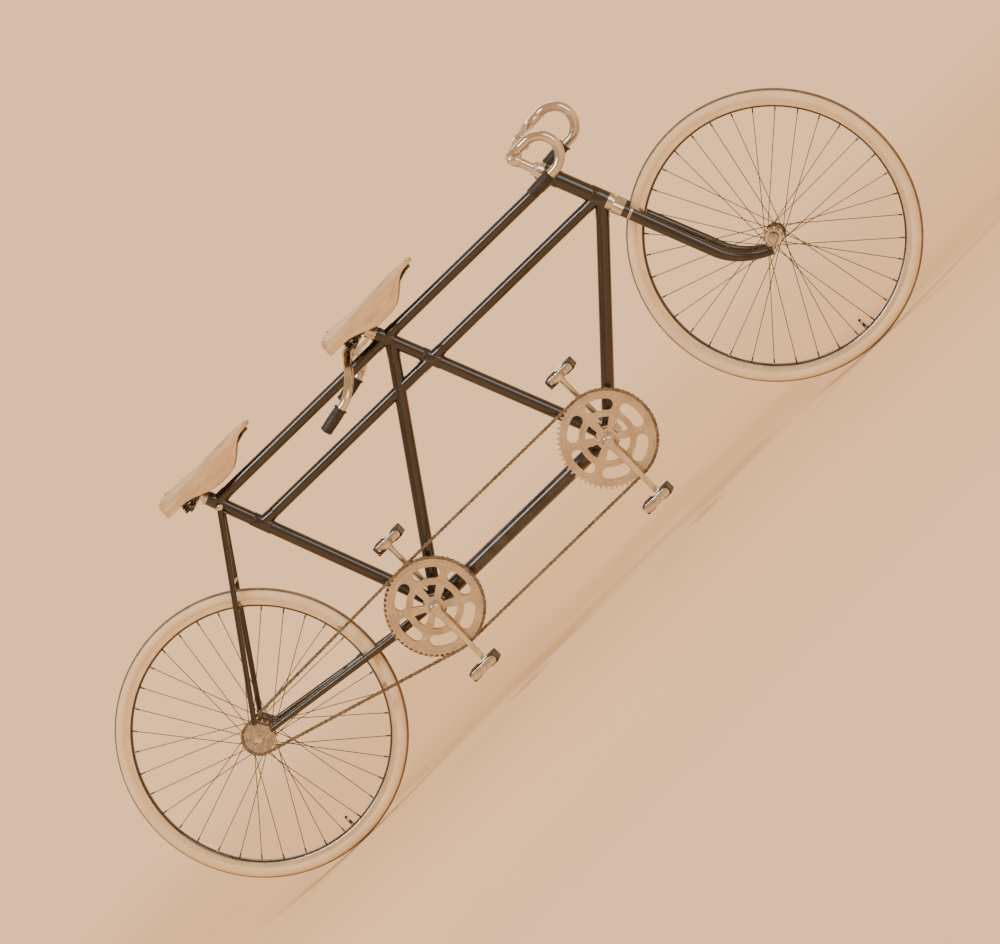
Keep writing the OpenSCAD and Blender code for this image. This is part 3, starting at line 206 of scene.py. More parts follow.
def tyre_material():
    s = Shader("cream_tyre_rubber", roughness=0.62, Specular_IOR_Level=0.35)
    blotch = s.ramp(s.noise(11, 6), 0.3, 0.75)
    base = s.mix(blotch, (0.83, 0.70, 0.49), (0.74, 0.60, 0.39))
    y = s.math("ABSOLUTE", s.split()[1])
    crown = s.ramp(y, 0.0115, 0.0095)
    tread = s.mix(s.ramp(s.noise(70, 9), 0.35, 0.68), (0.075, 0.055, 0.04), (0.16, 0.12, 0.085))
    base = s.mix(s.math("MULTIPLY", crown, 0.92), base, tread)
    speck = s.ramp(s.cells(520), 0.12, 0.03)
    base = s.mix(s.math("MULTIPLY", speck, 0.35), base, (0.33, 0.26, 0.18))
    s.set("Base Color", base)
    s.set("Roughness", s.ramp(s.noise(40, 6), 0.3, 0.8, 0.5, 0.78))
    grain = s.bump(s.noise(650, 5), 0.00018, 0.5)
    s.set("Normal", s.bump(s.cells(60), 0.0003, 0.1, grain))
    return s.mat


def rubber_material(name, dark, light):
    s = Shader(name, Specular_IOR_Level=0.45)
    base = s.mix(s.ramp(s.noise(60, 7), 0.4, 0.72), dark, light)
    s.set("Base Color", base)
    s.set("Roughness", s.ramp(s.noise(85, 6), 0.3, 0.75, 0.38, 0.68))
    s.set("Normal", s.bump(s.noise(900, 4), 0.00015, 0.6))
    return s.mat


def leather_material():
    s = Shader("tan_saddle_leather", Sheen_Weight=0.12, Coat_Weight=0.12, Coat_Roughness=0.35)
    base = s.mix(s.ramp(s.noise(13, 7), 0.32, 0.72), (0.66, 0.47, 0.26), (0.50, 0.33, 0.165))
    hatch = s.noise(46, 9, s.scaled(0.35, 1, 2.2), 0.6)
    base = s.mix(s.math("MULTIPLY", s.ramp(hatch, 0.52, 0.72), 0.45), base, (0.36, 0.22, 0.11))
    pore = s.ramp(s.cells(1500), 0.28, 0.08)
    base = s.mix(s.math("MULTIPLY", pore, 0.25), base, (0.27, 0.16, 0.08))
    s.set("Base Color", base)
    s.set("Roughness", s.ramp(s.noise(60, 6), 0.3, 0.75, 0.36, 0.62))
    grain = s.bump(s.cells(1100, "SMOOTH_F1"), 0.0003, 0.5)
    crease = s.bump(s.noise(75, 8, s.scaled(1, 0.5, 1), 1.2), 0.0006, 0.35, grain)
    s.set("Normal", s.bump(s.noise(12, 2), 0.002, 0.15, crease))
    return s.mat


black_paint = paint_material("black_frame_enamel", (0.004, 0.004, 0.005), (0.011, 0.0105, 0.012))
chrome = plated_material("old_chrome", (0.66, 0.64, 0.60), (0.48, 0.45, 0.41), 0.07, 0.24)
nickel = plated_material("satin_nickel", (0.66, 0.60, 0.51), (0.48, 0.42, 0.35), 0.24, 0.42)
alloy = plated_material("polished_rim_alloy", (0.86, 0.80, 0.70), (0.74, 0.68, 0.58), 0.2, 0.36)
dull_steel = steel_material("dull_steel", (0.36, 0.34, 0.32), (0.55, 0.53, 0.50), 0.28, 0.48)
spoke_steel = steel_material("dark_spoke_steel", (0.055, 0.052, 0.05), (0.10, 0.095, 0.09), 0.3, 0.5,
                             metallic=0.8, grime=0.3)
chain_steel = steel_material("oiled_chain_steel", (0.15, 0.125, 0.10), (0.30, 0.26, 0.21), 0.3, 0.55,
                             metallic=0.9, grime=0.65)
spring_steel = steel_material("blued_spring_steel", (0.05, 0.05, 0.055), (0.14, 0.135, 0.13), 0.24, 0.42,
                              metallic=0.9, grime=0.4)
rim_black = paint_material("black_rim_enamel", (0.013, 0.012, 0.012), (0.03, 0.028, 0.026))
tyre_cream = tyre_material()
black_rubber = rubber_material("black_grip_rubber", (0.012, 0.012, 0.012), (0.035, 0.033, 0.031))
pedal_rubber = rubber_material("dusty_pedal_rubber", (0.018, 0.017, 0.016), (0.06, 0.055, 0.05))
leather = leather_material()
copper = plated_material("copper_rivets", (0.72, 0.42, 0.24), (0.50, 0.27, 0.14), 0.2, 0.4)
thread = rubber_material("waxed_thread", (0.45, 0.34, 0.2), (0.62, 0.5, 0.33))


# ---------- Mesh building ----------

def oval(centre, side, up, sides):
    """Points round an oval whose half axes are side and up."""
    turns = [2 * math.pi * k / sides for k in range(sides)]
    return [centre + side * math.cos(a) + up * math.sin(a) for a in turns]


class Build:
    """Collects faces of several closed shapes into one object. All its lengths are in millimetres."""

    def __init__(self):
        self.verts, self.faces, self.slots = [], [], []

    def add(self, verts, faces, slot=0):
        n = len(self.verts)
        self.verts += [tuple(v) for v in verts]
        self.faces += [tuple(i + n for i in f) for f in faces]
        self.slots += [slot] * len(faces)

    def rings(self, rings, slot=0, cap=True, loop=False):
        n = len(rings[0])
        verts = [p for r in rings for p in r]
        count = len(rings)
        faces = []
        for i in range(count if loop else count - 1):
            j = (i + 1) % count
            for k in range(n):
                m = (k + 1) % n
                faces.append((i * n + k, i * n + m, j * n + m, j * n + k))
        if cap and not loop:
            faces.append(tuple(range(n))[::-1])
            faces.append(tuple(range((count - 1) * n, count * n)))
        self.add(verts, faces, slot)

    def sweep(self, path, widths, heights=None, sides=20, ref=None, slot=0, cap=True):
        """A tube along path. widths are its radii, or half widths along ref where heights are given too."""
        path = [Vector(p) for p in path]
        heights = heights or widths
        n = len(path)
        rings, side = [], None
        for i, p in enumerate(path):
            t = (path[min(i + 1, n - 1)] - path[max(i - 1, 0)]).normalized()
            if ref is not None:
                side = Vector(ref)
            elif side is None:
                side = Vector((0, 1, 0)) if abs(t.y) < 0.9 else Vector((1, 0, 0))
            side = (side - t * side.dot(t)).normalized()
            up = t.cross(side)
            w = widths[i] if isinstance(widths, list) else widths
            h = heights[i] if isinstance(heights, list) else heights
            rings.append(oval(p, side * w, up * h, sides))
        self.rings(rings, slot, cap)

    def lathe(self, start, axis, profile, sides=32, slot=0, loop=False):
        """A solid of revolution: profile holds (distance along axis, radius)."""
        axis = Vector(axis).normalized()
        side = axis.orthogonal().normalized()
        up = axis.cross(side)
        rings = []
        for s, r in profile:
            c = Vector(start) + axis * s
            rings.append(oval(c, side * r, up * r, sides))
        self.rings(rings, slot, not loop, loop)

    def finish(self, name, body, materials, slot, replaces=(), sharp=35):
        mesh = bpy.data.meshes.new(name)
        mesh.from_pydata([tuple(c * MM for c in v) for v in self.verts], [], self.faces)
        for m in materials:
            mesh.materials.append(m)
        mesh.polygons.foreach_set("material_index", self.slots)
        b = bmesh.new()
        b.from_mesh(mesh)
        bmesh.ops.recalc_face_normals(b, faces=b.faces)
        b.to_mesh(mesh)
        b.free()
        mesh.polygons.foreach_set("use_smooth", [True] * len(mesh.polygons))
        mesh.set_sharp_from_angle(angle=math.radians(sharp))
        obj = bpy.data.objects.new(name, mesh)
        bpy.context.scene.collection.objects.link(obj)
        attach(obj, body)
        if replaces:
            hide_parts(*replaces)
        return obj


def mix(a, b, t):
    return a + (b - a) * t


def smooth(t):
    t = min(1.0, max(0.0, t))
    return t * t * (3 - 2 * t)


def bezier(points, t):
    points = [Vector(p) for p in points]
    while len(points) > 1:
        points = [mix(p, q, t) for p, q in zip(points, points[1:])]
    return points[0]


def dome(r, h, base=0.0, steps=5):
    """Profile of a flat-bottomed dome of radius r and height h for Build.lathe."""
    quarter = math.pi / 2 / steps
    return [(base, r)] + [(base + h * math.sin(a * quarter), max(0.02 * r, r * math.cos(a * quarter)))
                          for a in range(1, steps + 1)]


def rounded(length, r, edge):
    """Profile of a cylinder with eased edges."""
    start = [(0, r - edge), (edge * 0.3, r - edge * 0.3), (edge, r)]
    return start + [(length - s, radius) for s, radius in reversed(start)]


def hexagon(build, start, axis, length, flats, slot=0):
    r = flats / math.sqrt(3)
    profile = [(0, r * 0.93), (length * 0.12, r), (length * 0.85, r), (length, r * 0.9)]
    build.lathe(start, axis, profile, 6, slot)


# ---------- Places taken from the frame, in millimetres ----------

def joint_at(name):
    return Vector(joints[name]["pos_m"]) / MM


rear = joint_at("rear_wheel_spin")
front = joint_at("front_wheel_spin")
stoker_bb = joint_at("stoker_crank_spin")
captain_bb = joint_at("captain_crank_spin")
steer_foot = joint_at("steering")
steer_up = Vector(joints["steering"]["axis"])
steer_out = Vector((steer_up.z, 0, -steer_up.x))
captain_up = Vector(joints["captain_seat_height"]["axis"])
stoker_up = Vector(joints["stoker_seat_height"]["axis"])


def span(node):
    low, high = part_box(node)
    return Vector(low) / MM, Vector(high) / MM


# Heights along the steering axis, from its foot
CROWN = 347.218
HEAD_LOW = 389.218
HEAD_TOP = 553.711
STEM_TOP = 627.711


def steering(x, y, s):
    return steer_foot + steer_out * x + steer_up * s + Vector((0, y, 0))


def on_axis(start, axis, z):
    return start + axis * ((z - start.z) / axis.z)


top_z = sum(v.z for v in span("top_tube")) / 2
lateral_z = sum(v.z for v in span("lateral_tube")) / 2
seat_top_z = top_z + 28.3
PITCH = 12.7
RING_TEETH = 58
COG_TEETH = 20
CRANK = 175.0
ring_r = PITCH / (2 * math.sin(math.pi / RING_TEETH))
cog_r = PITCH / (2 * math.sin(math.pi / COG_TEETH))
Y = Vector((0, 1, 0))


def across(y):
    return Vector((0, y, 0))


# ---------- Chains of separate links ----------

def link_outline():
    half, h, waist = PITCH / 2, 4.1, 2.9
    top = [(-half - h * math.cos(a * math.pi / 10), h * math.sin(a * math.pi / 10)) for a in range(6)]
    top += [(x, waist + (h - waist) * smooth(abs(x) / half))
            for x in (-half * 0.66, -half * 0.33, 0, half * 0.33, half * 0.66)]
    top += [(half + h * math.sin(a * math.pi / 10), h * math.cos(a * math.pi / 10)) for a in range(6)]
    return top + [(x, -z) for x, z in reversed(top[1:-1])]


def add_plate(build, mid, along, up, y0, y1, outline):
    """A link plate between y0 and y1 whose outer edge is eased."""
    ease = 0.3 if y1 > y0 else -0.3
    rings = []
    for y, k in ((y0, 1.0), (y1 - ease, 1.0), (y1, 0.93)):
        rings.append([mid + along * (x * k) + up * (z * k) + across(y) for x, z in outline])
    build.rings(rings)


def chain(name, rollers, y, node):
    build = Build()
    outline = link_outline()
    n = len(rollers)
    for i in range(n):
        p, q = rollers[i], rollers[(i + 1) % n]
        along = (q - p).normalized()
        up = along.cross(Y)
        mid = (p + q) / 2 + across(y)
        outer = i % 2 == 0
        for side in (-1, 1):
            near, far = (2.85, 3.95) if outer else (1.78, 2.8)
            add_plate(build, mid, along, up, side * near, side * far, outline)
        build.lathe(p + across(y - 1.72), Y, rounded(3.44, 3.85, 0.35), 14)
        build.lathe(p + across(y - 4.35), Y, [(0, 1.1), (0.3, 1.7), (8.4, 1.7), (8.7, 1.1)], 10)
    return build.finish(name, "frame", [chain_steel], "chain_steel", [node])


def timing_rollers():
    run = round((captain_bb.x - stoker_bb.x) / PITCH)
    wrap, step = RING_TEETH // 2, 2 * math.pi / RING_TEETH
    points = [Vector((u * PITCH, 0, ring_r)) for u in range(run)]
    points += [Vector((run * PITCH + ring_r * math.sin(u * step), 0, ring_r * math.cos(u * step)))
               for u in range(wrap)]
    points += [Vector(((run - u) * PITCH, 0, -ring_r)) for u in range(run)]
    points += [Vector((-ring_r * math.sin(u * step), 0, -ring_r * math.cos(u * step))) for u in range(wrap)]
    return [stoker_bb + p for p in points]


def drive_rollers():
    back = rear - stoker_bb
    gap = back.length
    tangent = math.asin((ring_r - cog_r) / gap)
    tilt = math.atan2(back.z, -back.x)
    run = math.sqrt(gap * gap - (ring_r - cog_r) ** 2) / PITCH
    ring_wrap = (math.pi + 2 * tangent) * RING_TEETH / (2 * math.pi)
    cog_wrap = (math.pi - 2 * tangent) * COG_TEETH / (2 * math.pi)
    c, s = math.sin(tangent), math.cos(tangent)
    points = []
    for u in range(round(2 * run + ring_wrap + cog_wrap)):
        if u < ring_wrap:
            a = math.pi / 2 + tangent - u * 2 * math.pi / RING_TEETH
            x, z = ring_r * math.cos(a), ring_r * math.sin(a)
        elif u < ring_wrap + run:
            d = (u - ring_wrap) * PITCH
            x, z = -c * ring_r - s * d, -s * ring_r + c * d
        elif u < ring_wrap + run + cog_wrap:
            a = -math.pi / 2 - tangent - (u - ring_wrap - run) * 2 * math.pi / COG_TEETH
            x, z = -gap + cog_r * math.cos(a), cog_r * math.sin(a)
        else:
            d = (u - ring_wrap - run - cog_wrap) * PITCH
            x, z = -gap - c * cog_r + s * d, s * cog_r + c * d
        points.append(stoker_bb + Vector((x * math.cos(tilt) + z * math.sin(tilt), 0,
                                          z * math.cos(tilt) - x * math.sin(tilt))))
    return points


timing_y = sum(v.y for v in span("timing_chain")) / 2
drive_y = sum(v.y for v in span("drive_chain")) / 2
chain("timing_chain_links", timing_rollers(), timing_y, "timing_chain")
chain("drive_chain_links", drive_rollers(), drive_y, "drive_chain")


# ---------- Wheels ----------

def wheel(name, centre, body):
    seat, r, wall = 315.0, 16.0, 2.2
    tread = []
    for k in range(73):
        a = math.radians(-148 + 296 * k / 72)
        out = r - 0.15
        deg = abs(math.degrees(a))
        if deg < 44:
            out -= 0.75 * (0.5 + 0.5 * math.cos(math.radians(deg * 36)))
        elif 62 < deg < 66 or 104 < deg < 107:
            out += 0.15
        elif 44 <= deg < 60:
            out -= 0.5 * abs(math.sin(math.radians((deg - 44) * 22.5)))
        tread.append((seat + r + out * math.cos(a), out * math.sin(a)))
    inner = [(seat + r + (r - wall) * math.cos(math.radians(a)), (r - wall) * math.sin(math.radians(a)))
             for a in range(145, -146, -29)]
    build = Build()
    build.lathe(centre, Y, [(y, rad) for rad, y in tread + inner], 240, loop=True)
    build.finish(f"{name}_tyre_tread", body, [tyre_cream], "tyre", [f"{name}_tyre"], sharp=50)

    hook = [(12.2, 321.0), (11.6, 321.6), (10.9, 321.0), (10.5, 319.2), (10.45, 315.4), (9.0, 315.0)]
    flank = [(11.0, 308.4), (11.7, 309.4), (12.1, 313.0)]
    bright = hook + [(-y, rad) for y, rad in reversed(hook)]
    bright += [(-y, rad) for y, rad in reversed(flank)] + flank
    well = [(11.4, 309.0), (9.6, 305.8), (6.6, 303.7), (2.5, 303.2)]
    dark = well + [(-y, rad) for y, rad in reversed(well)] + [(-8.0, 310.5), (8.0, 310.5)]
    build = Build()
    build.lathe(centre, Y, bright, 240, 0, loop=True)
    build.lathe(centre, Y, dark, 240, 1, loop=True)
    for k in range(36):
        a = math.radians(10 * k + 5)
        d = Vector((math.cos(a), 0, math.sin(a)))
        foot = centre + d * 302.6 + across(2.5 if k % 2 else -2.5)
        build.lathe(foot, d, [(0, 2.7), (0.5, 3.2), (1.6, 3.2)], 12, 0)
    build.finish(f"{name}_rim_shell", body, [alloy, rim_black], "rim_enamel", [f"{name}_rim"], sharp=40)

    build = Build()
    down = Vector((0, 0, -1))
    foot = centre + down * 303.0
    build.lathe(foot, -down, [(0, 5.2), (0.6, 6.2), (2.4, 6.2), (3.0, 5.4)], 6, 0)
    stalk = [(0, 3.6), (9, 3.4), (9.5, 4.1), (17, 4.1), (18.5, 3.2), (19, 1.5)]
    build.lathe(foot + Vector((0, 0, 3)), -down, stalk, 18, 0)
    build.finish(f"{name}_valve_trim", body, [chrome], "chrome")


wheel("front", front, "front_wheel")
wheel("rear", rear, "rear_wheel")


# ---------- Cranks and pedals ----------

def crank_forging(name, bb, body, node, rings):
    build = Build()
    build.lathe(bb + across(-61), Y, [(0, 10.9), (122, 10.9)], 28)
    for side in (-1, 1):
        arm = Vector((0, 0, side * CRANK))
        outer = across(side * 68.5)
        path, wide, thick = [], [], []
        for k in range(31):
            t = k / 30
            z = -0.055 + 1.12 * t
            path.append(bb + arm * z + outer)
            root = math.sqrt(max(0.02, 1 - ((0.055 - t * 1.12) / 0.062) ** 2)) if z < 0.006 else 1.0
            tip = math.sqrt(max(0.02, 1 - ((z - 1.0) / 0.066) ** 2)) if z > 1 else 1.0
            body_w = mix(9.2, 6.8, smooth((z - 0.05) / 0.8))
            boss = 4.6 * (1 - smooth(abs(z) / 0.12)) + 4.6 * (1 - smooth(abs(z - 1) / 0.11))
            wide.append((body_w + boss) * root * tip)
            thick.append(mix(6.4, 5.0, smooth(z * 2)) + 1.2 * (1 - smooth(abs(z - 1) / 0.1)))
        build.sweep(path, wide, [h * min(1, 0.45 + 0.55 * w / 8) for h, w in zip(thick, wide)], 28, (1, 0, 0))
        build.lathe(bb + across(side * 74.5), Y * side, dome(8.5, 2.2), 24)
        eye = bb + arm + across(side * 60.5)
        build.lathe(eye, Y * side, [(0, 5.5), (0.4, 8.6), (2.6, 8.6)], 24)
        washer = [(0, 20.5), (0.8, 21.2), (2.2, 21.2), (2.6, 20.2)]
        build.lathe(bb + across(side * 36.5), Y * side, washer, 32)
        if side > 0:
            hexagon(build, bb + across(39), Y, 5, 32)
            build.lathe(bb + across(44.2), Y, rounded(17.5, 14.5, 1.0), 32)
    marks = [-38.2] + [v for r in sorted(rings, reverse=True) for v in (r + 1.5, r - 1.5)] + [-61.8]
    for high, low in zip(marks[::2], marks[1::2]):
        if high - low > 0.5:
            build.lathe(bb + across(low), Y, rounded(high - low, 15, 0.6), 32)
    pin = bb + Vector((0, 0, -32))
    build.lathe(pin + across(-62), Y, [(0, 3.9), (62 - 43, 3.9)], 16)
    for a in range(6):
        turn = math.radians(60 * a + 30)
        hub = bb + Vector((20 * math.cos(turn), 0, 20 * math.sin(turn)))
        build.lathe(hub + across(min(rings) - 1.4), -Y, dome(2.4, 1.6), 12)
    return build.finish(name, body, [chrome], "chrome", [node], sharp=38)


crank_forging("captain_crank_forging", captain_bb, "captain_cranks", "captain_crank", [timing_y])
crank_forging("stoker_crank_forging", stoker_bb, "stoker_cranks", "stoker_crank", [timing_y, drive_y])


def ring_trim(name, bb, y, body, face):
    """Raised rolled edges on one face of a chainring."""
    build = Build()
    for r, w, h in ((107.5, 1.5, 0.8), (99.5, 1.1, 0.7), (62.5, 1.8, 0.9), (56.0, 1.0, 0.6)):
        profile = [(-0.2, r - w), (h * 0.7, r - w * 0.6), (h, r), (h * 0.7, r + w * 0.6), (-0.2, r + w)]
        build.lathe(bb + across(y + face * 1.5), Y * face, profile, 120, loop=True)
    for a in range(6):
        d = math.radians(60 * a + 30)
        c = bb + Vector((81.5 * math.cos(d), 0, 81.5 * math.sin(d)))
        build.lathe(c + across(y + face * 1.4), Y * face, dome(3.4, 1.5), 14)
    build.finish(name, body, [nickel], "chrome")


ring_trim("drive_ring_beads", stoker_bb, drive_y, "stoker_cranks", -1)
ring_trim("captain_ring_beads", captain_bb, timing_y, "captain_cranks", -1)


def rounded_rect(w, h, corner, steps=4):
    points = []
    for sx, sz, a0 in ((1, 1, 0), (-1, 1, 90), (-1, -1, 180), (1, -1, 270)):
        for k in range(steps + 1):
            a = math.radians(a0 + 90 * k / steps)
            points.append((sx * (w - corner) + corner * math.cos(a),
                           sz * (h - corner) + corner * math.sin(a)))
    return points


def pedal(name, centre, side, body, node):
    """A block pedal: two ribbed rubber blocks between end plates, on a spindle."""
    at = Vector((centre.x, 0, centre.z))
    start, length = 81.0, 78.0
    build = Build()
    for x in (-26, 26):
        rings = []
        steps = 60
        for k in range(steps + 1):
            y = start + 4.8 + (length - 9.6) * k / steps
            rib = 0.5 - 0.5 * math.cos(2 * math.pi * (y - start - 4.8) / 8.6)
            cut = 1.7 * smooth((rib - 0.35) / 0.5)
            end = math.sin(min(1, min(k, steps - k) / 3) * math.pi / 2)
            w, h = 12.6 * (0.82 + 0.18 * end), (12.3 - 1.7 + cut) * (0.85 + 0.15 * end)
            rings.append([at + Vector((x + px, side * y, pz)) for px, pz in rounded_rect(w, h, 3.2)])
        build.rings(rings, 0)
    for y in (start + 3.0, start + length - 3.0):
        outline = rounded_rect(37, 10.8, 10.2, 8)
        rings = []
        for dy, k in ((-1.5, 0.94), (-1.1, 1.0), (1.1, 1.0), (1.5, 0.94)):
            rings.append([at + Vector((x * k, side * (y + dy), z * k * (0.72 + 0.28 * abs(x) / 37)))
                          for x, z in outline])
        build.rings(rings, 1)
    for x in (-26, 26):
        hexagon(build, at + Vector((x, side * (start + length - 1.4), 0)), Y * side, 3.2, 8.5, 1)
        head = at + Vector((x, side * (start + 0.2), 0))
        build.lathe(head, Y * side, [(0, 3.6), (1.4, 4.6)], 16, 1)
    build.lathe(at + across(side * start), Y * side, rounded(length, 8.9, 0.8), 28, 1)
    cap = [(0, 7.4), (0.6, 8.1), (4.0, 7.8), (6.4, 6.4), (7.4, 3.5), (7.7, 0.4)]
    build.lathe(at + across(side * (start + length - 0.4)), Y * side, cap, 24, 1)
    spindle = [(0, 7.0), (13.4, 7.0), (13.5, 8.9), (16.8, 8.9), (17.0, 5.2), (20.2, 5.2)]
    build.lathe(at + across(side * 61.5), Y * side, spindle, 24, 1)
    build.finish(name, body, [pedal_rubber, chrome], "rubber", [node], sharp=40)


for rider, bb in (("captain", captain_bb), ("stoker", stoker_bb)):
    for word, side in (("right", -1), ("left", 1)):
        pedal(f"{rider}_{word}_block_pedal", bb + Vector((0, 0, side * CRANK)), side,
              f"{rider}_{word}_pedal", f"{rider}_{word}_pedal")


# ---------- Fork, stem and bars ----------

def blade_y(s, crown):
    return mix(34, 52.5, smooth((crown - s) / crown))


def fork_legs():
    crown = CROWN
    points = [(0, crown - (crown - 110) * k / 12) for k in range(13)]
    for k in range(1, 25):
        p = bezier([(0, 110, 0), (0, 46, 0), (57, -12, 0)], k / 24)
        points.append((p.x, p.y))
    n = len(points) - 1
    build = Build()
    for side in (-1, 1):
        path = [steering(x, side * blade_y(s, crown), s) for x, s in points]
        wide = [mix(14.5, 8, smooth(i / n)) for i in range(n + 1)]
        deep = [mix(10, 6.5, smooth(i / n)) for i in range(n + 1)]
        build.sweep(path, deep, wide, 36, (0, 1, 0))
    build.finish("fork_legs", "fork", [black_paint], "frame_paint", ["fork_blades"])
    build = Build()
    for side in (-1, 1):
        for s in (crown - 16, crown - 19.5):
            ends = [steering(0, side * 34, s), steering(0, side * 34, s - 2.4)]
            build.sweep(ends, [10.6, 10.35], [15.1, 14.9], 36, (0, 1, 0))
    build.finish("fork_leg_bands", "fork", [chrome], "chrome")


fork_legs()


def stem_forging():
    low = HEAD_TOP - 70
    top = STEM_TOP
    centre = (46.0, top + 4)
    build = Build()
    build.lathe(steering(0, 0, low), steer_up, [(0, 11.0), (top - 16 - low, 11.0)], 32)
    head = [(0, 11.2), (2, 13.2), (5, 14.0), (22, 14.0), (25.5, 13.2), (28.3, 10.6), (29, 8.8)]
    build.lathe(steering(0, 0, top - 17), steer_up, head, 32)
    path, wide, deep = [], [], []
    for k in range(17):
        t = k / 16
        p = bezier([(0, top - 6, 0), (14, top - 5, 0), (30, centre[1] - 1, 0), (centre[0], centre[1], 0)], t)
        path.append(steering(p.x, 0, p.y))
        wide.append(mix(10.5, 8.6, smooth(t * 1.6)) + 3.5 * smooth((t - 0.6) / 0.4))
        deep.append(mix(13.5, 10.2, smooth(t * 1.8)) + 2.5 * smooth((t - 0.7) / 0.3))
    build.sweep(path, wide, deep, 28, (0, 1, 0))
    hole = steering(centre[0], 0, centre[1])
    half = [(20, 12.0), (20, 14.8), (19.2, 16.0), (16, 16.4)]
    profile = [(-s, r) for s, r in half] + half[::-1]
    build.lathe(hole, Y, profile, 40, loop=True)
    ear = steering(centre[0] - 5, 0, centre[1] - 19.5)
    build.sweep([ear + across(y) for y in (-6.5, -5.5, 5.5, 6.5)],
                [6.0, 7.2, 7.2, 6.0], [5.2, 6.4, 6.4, 5.2], 20, (1, 0, 0))
    hexagon(build, ear + across(-6), -Y, 5, 9)
    build.lathe(ear + across(6), Y, dome(4.6, 3.0), 18)
    build.finish("stem_forging", "stem", [chrome], "chrome", ["stem"])


stem_forging()


def grip(name, end, axis, length, body, node):
    """A moulded grip: flange, waisted body with ribs, and a domed end with a raised band."""
    profile = [(-length, 12.6), (-length, 16.2), (-length + 0.8, 17.0),
               (-length + 2.6, 17.0), (-length + 3.6, 15.2)]
    ribs = 15
    for k in range(ribs * 4 + 1):
        s = -length + 4 + (length - 9) * k / (ribs * 4)
        u = k / (ribs * 4)
        swell = 0.9 * math.sin(math.pi * u)
        profile.append((s, 13.9 + swell + 0.55 * abs(math.sin(math.pi * k / 4))))
    profile += [(-4.2, 14.0), (-3.6, 15.0), (0.2, 15.0), (2.4, 14.2), (3.6, 12.2), (4.0, 8.0), (4.05, 1.0)]
    build = Build()
    build.lathe(end, axis, profile, 36)
    build.finish(name, body, [black_rubber], "rubber", [node], sharp=55)


for word, side in (("left", 1), ("right", -1)):
    low, high = span(f"front_grip_{word}")
    axis = Vector((math.cos(math.radians(3)), 0, math.sin(math.radians(3)))) * -1
    mid = (low + high) / 2
    reach = (high.x - low.x - 30 * math.sin(math.radians(3))) / 2 / math.cos(math.radians(3))
    grip(f"front_{word}_ribbed_grip", mid + axis * (reach - 4), axis, 62, "front_bars", f"front_grip_{word}")

stoker_clamp = on_axis(captain_bb, captain_up, seat_top_z + 8.6) + Vector((-70, 0, -2))
for word, side in (("left", 1), ("right", -1)):
    end = stoker_clamp + Vector((-130, side * 200, -82))
    axis = Vector((-65, 0, -14)).normalized()
    grip(f"stoker_{word}_ribbed_grip", end, axis, 62, "captain_seat", f"stoker_grip_{word}")


def stoker_bar_tube():
    build = Build()
    build.lathe(stoker_clamp + across(-32), Y, [(0, 11.4), (2.5, 12.45), (61.5, 12.45), (64, 11.4)], 32)
    for side in (-1, 1):
        path = []
        for k in range(41):
            p = bezier([(0, 28, 0), (0, 110, -5), (-15, 200, -57), (-65, 200, -68)], k / 40)
            path.append(stoker_clamp + Vector((p.x, side * p.y, p.z)))
        path += [stoker_clamp + Vector((-65 - 65 * t, side * 200, -68 - 14 * t)) for t in (0.3, 0.6, 1)]
        build.sweep(path, 11.0, None, 28)
    build.finish("stoker_bar_tube", "captain_seat", [chrome], "chrome", ["stoker_bar"])


stoker_bar_tube()


# ---------- Saddles ----------

SADDLE_L, SADDLE_W = 292.0, 205.0


def saddle_end(u):
    back = max(0.0004, 1 - max(0.0, 1 - u / 0.1) ** 2.2)
    nose = max(0.0004, 1 - max(0.0, (u - 0.93) / 0.07) ** 2)
    return math.sqrt(back * nose)


def saddle_half(u):
    return saddle_end(u) * mix(SADDLE_W / 2, 24, smooth((u - 0.08) / 0.62))


def saddle_top(u):
    middle = -3 * smooth((0.5 - abs(u - 0.4)) / 0.5)
    return middle - 5 * smooth((u - 0.85) / 0.15) - 4 * smooth((0.06 - u) / 0.06)


def saddle_skirt(u):
    flap = 30 * smooth((u - 0.2) / 0.32) * (1 - smooth((u - 0.6) / 0.3))
    return -mix(38, 14, smooth((u - 0.62) / 0.33)) - flap


def saddle_point(u, v, inset=0.0):
    """A point of the leather: u runs from back to nose, v from one skirt edge over the top to the other."""
    a = math.pi * v
    w = max(1.0, saddle_half(u) - inset)
    top, low = saddle_top(u) - inset, saddle_skirt(u)
    flat = math.copysign(abs(math.cos(a)) ** 0.58, math.cos(a))
    rise = math.sin(a) ** 0.46 if math.sin(a) > 0 else 0.0
    flare = 1 - 0.05 * math.sin(a) ** 2 + 0.03 * (1 - rise) ** 4
    return Vector(((u - 0.5) * SADDLE_L, -w * flat * flare, low + (top - low) * rise))


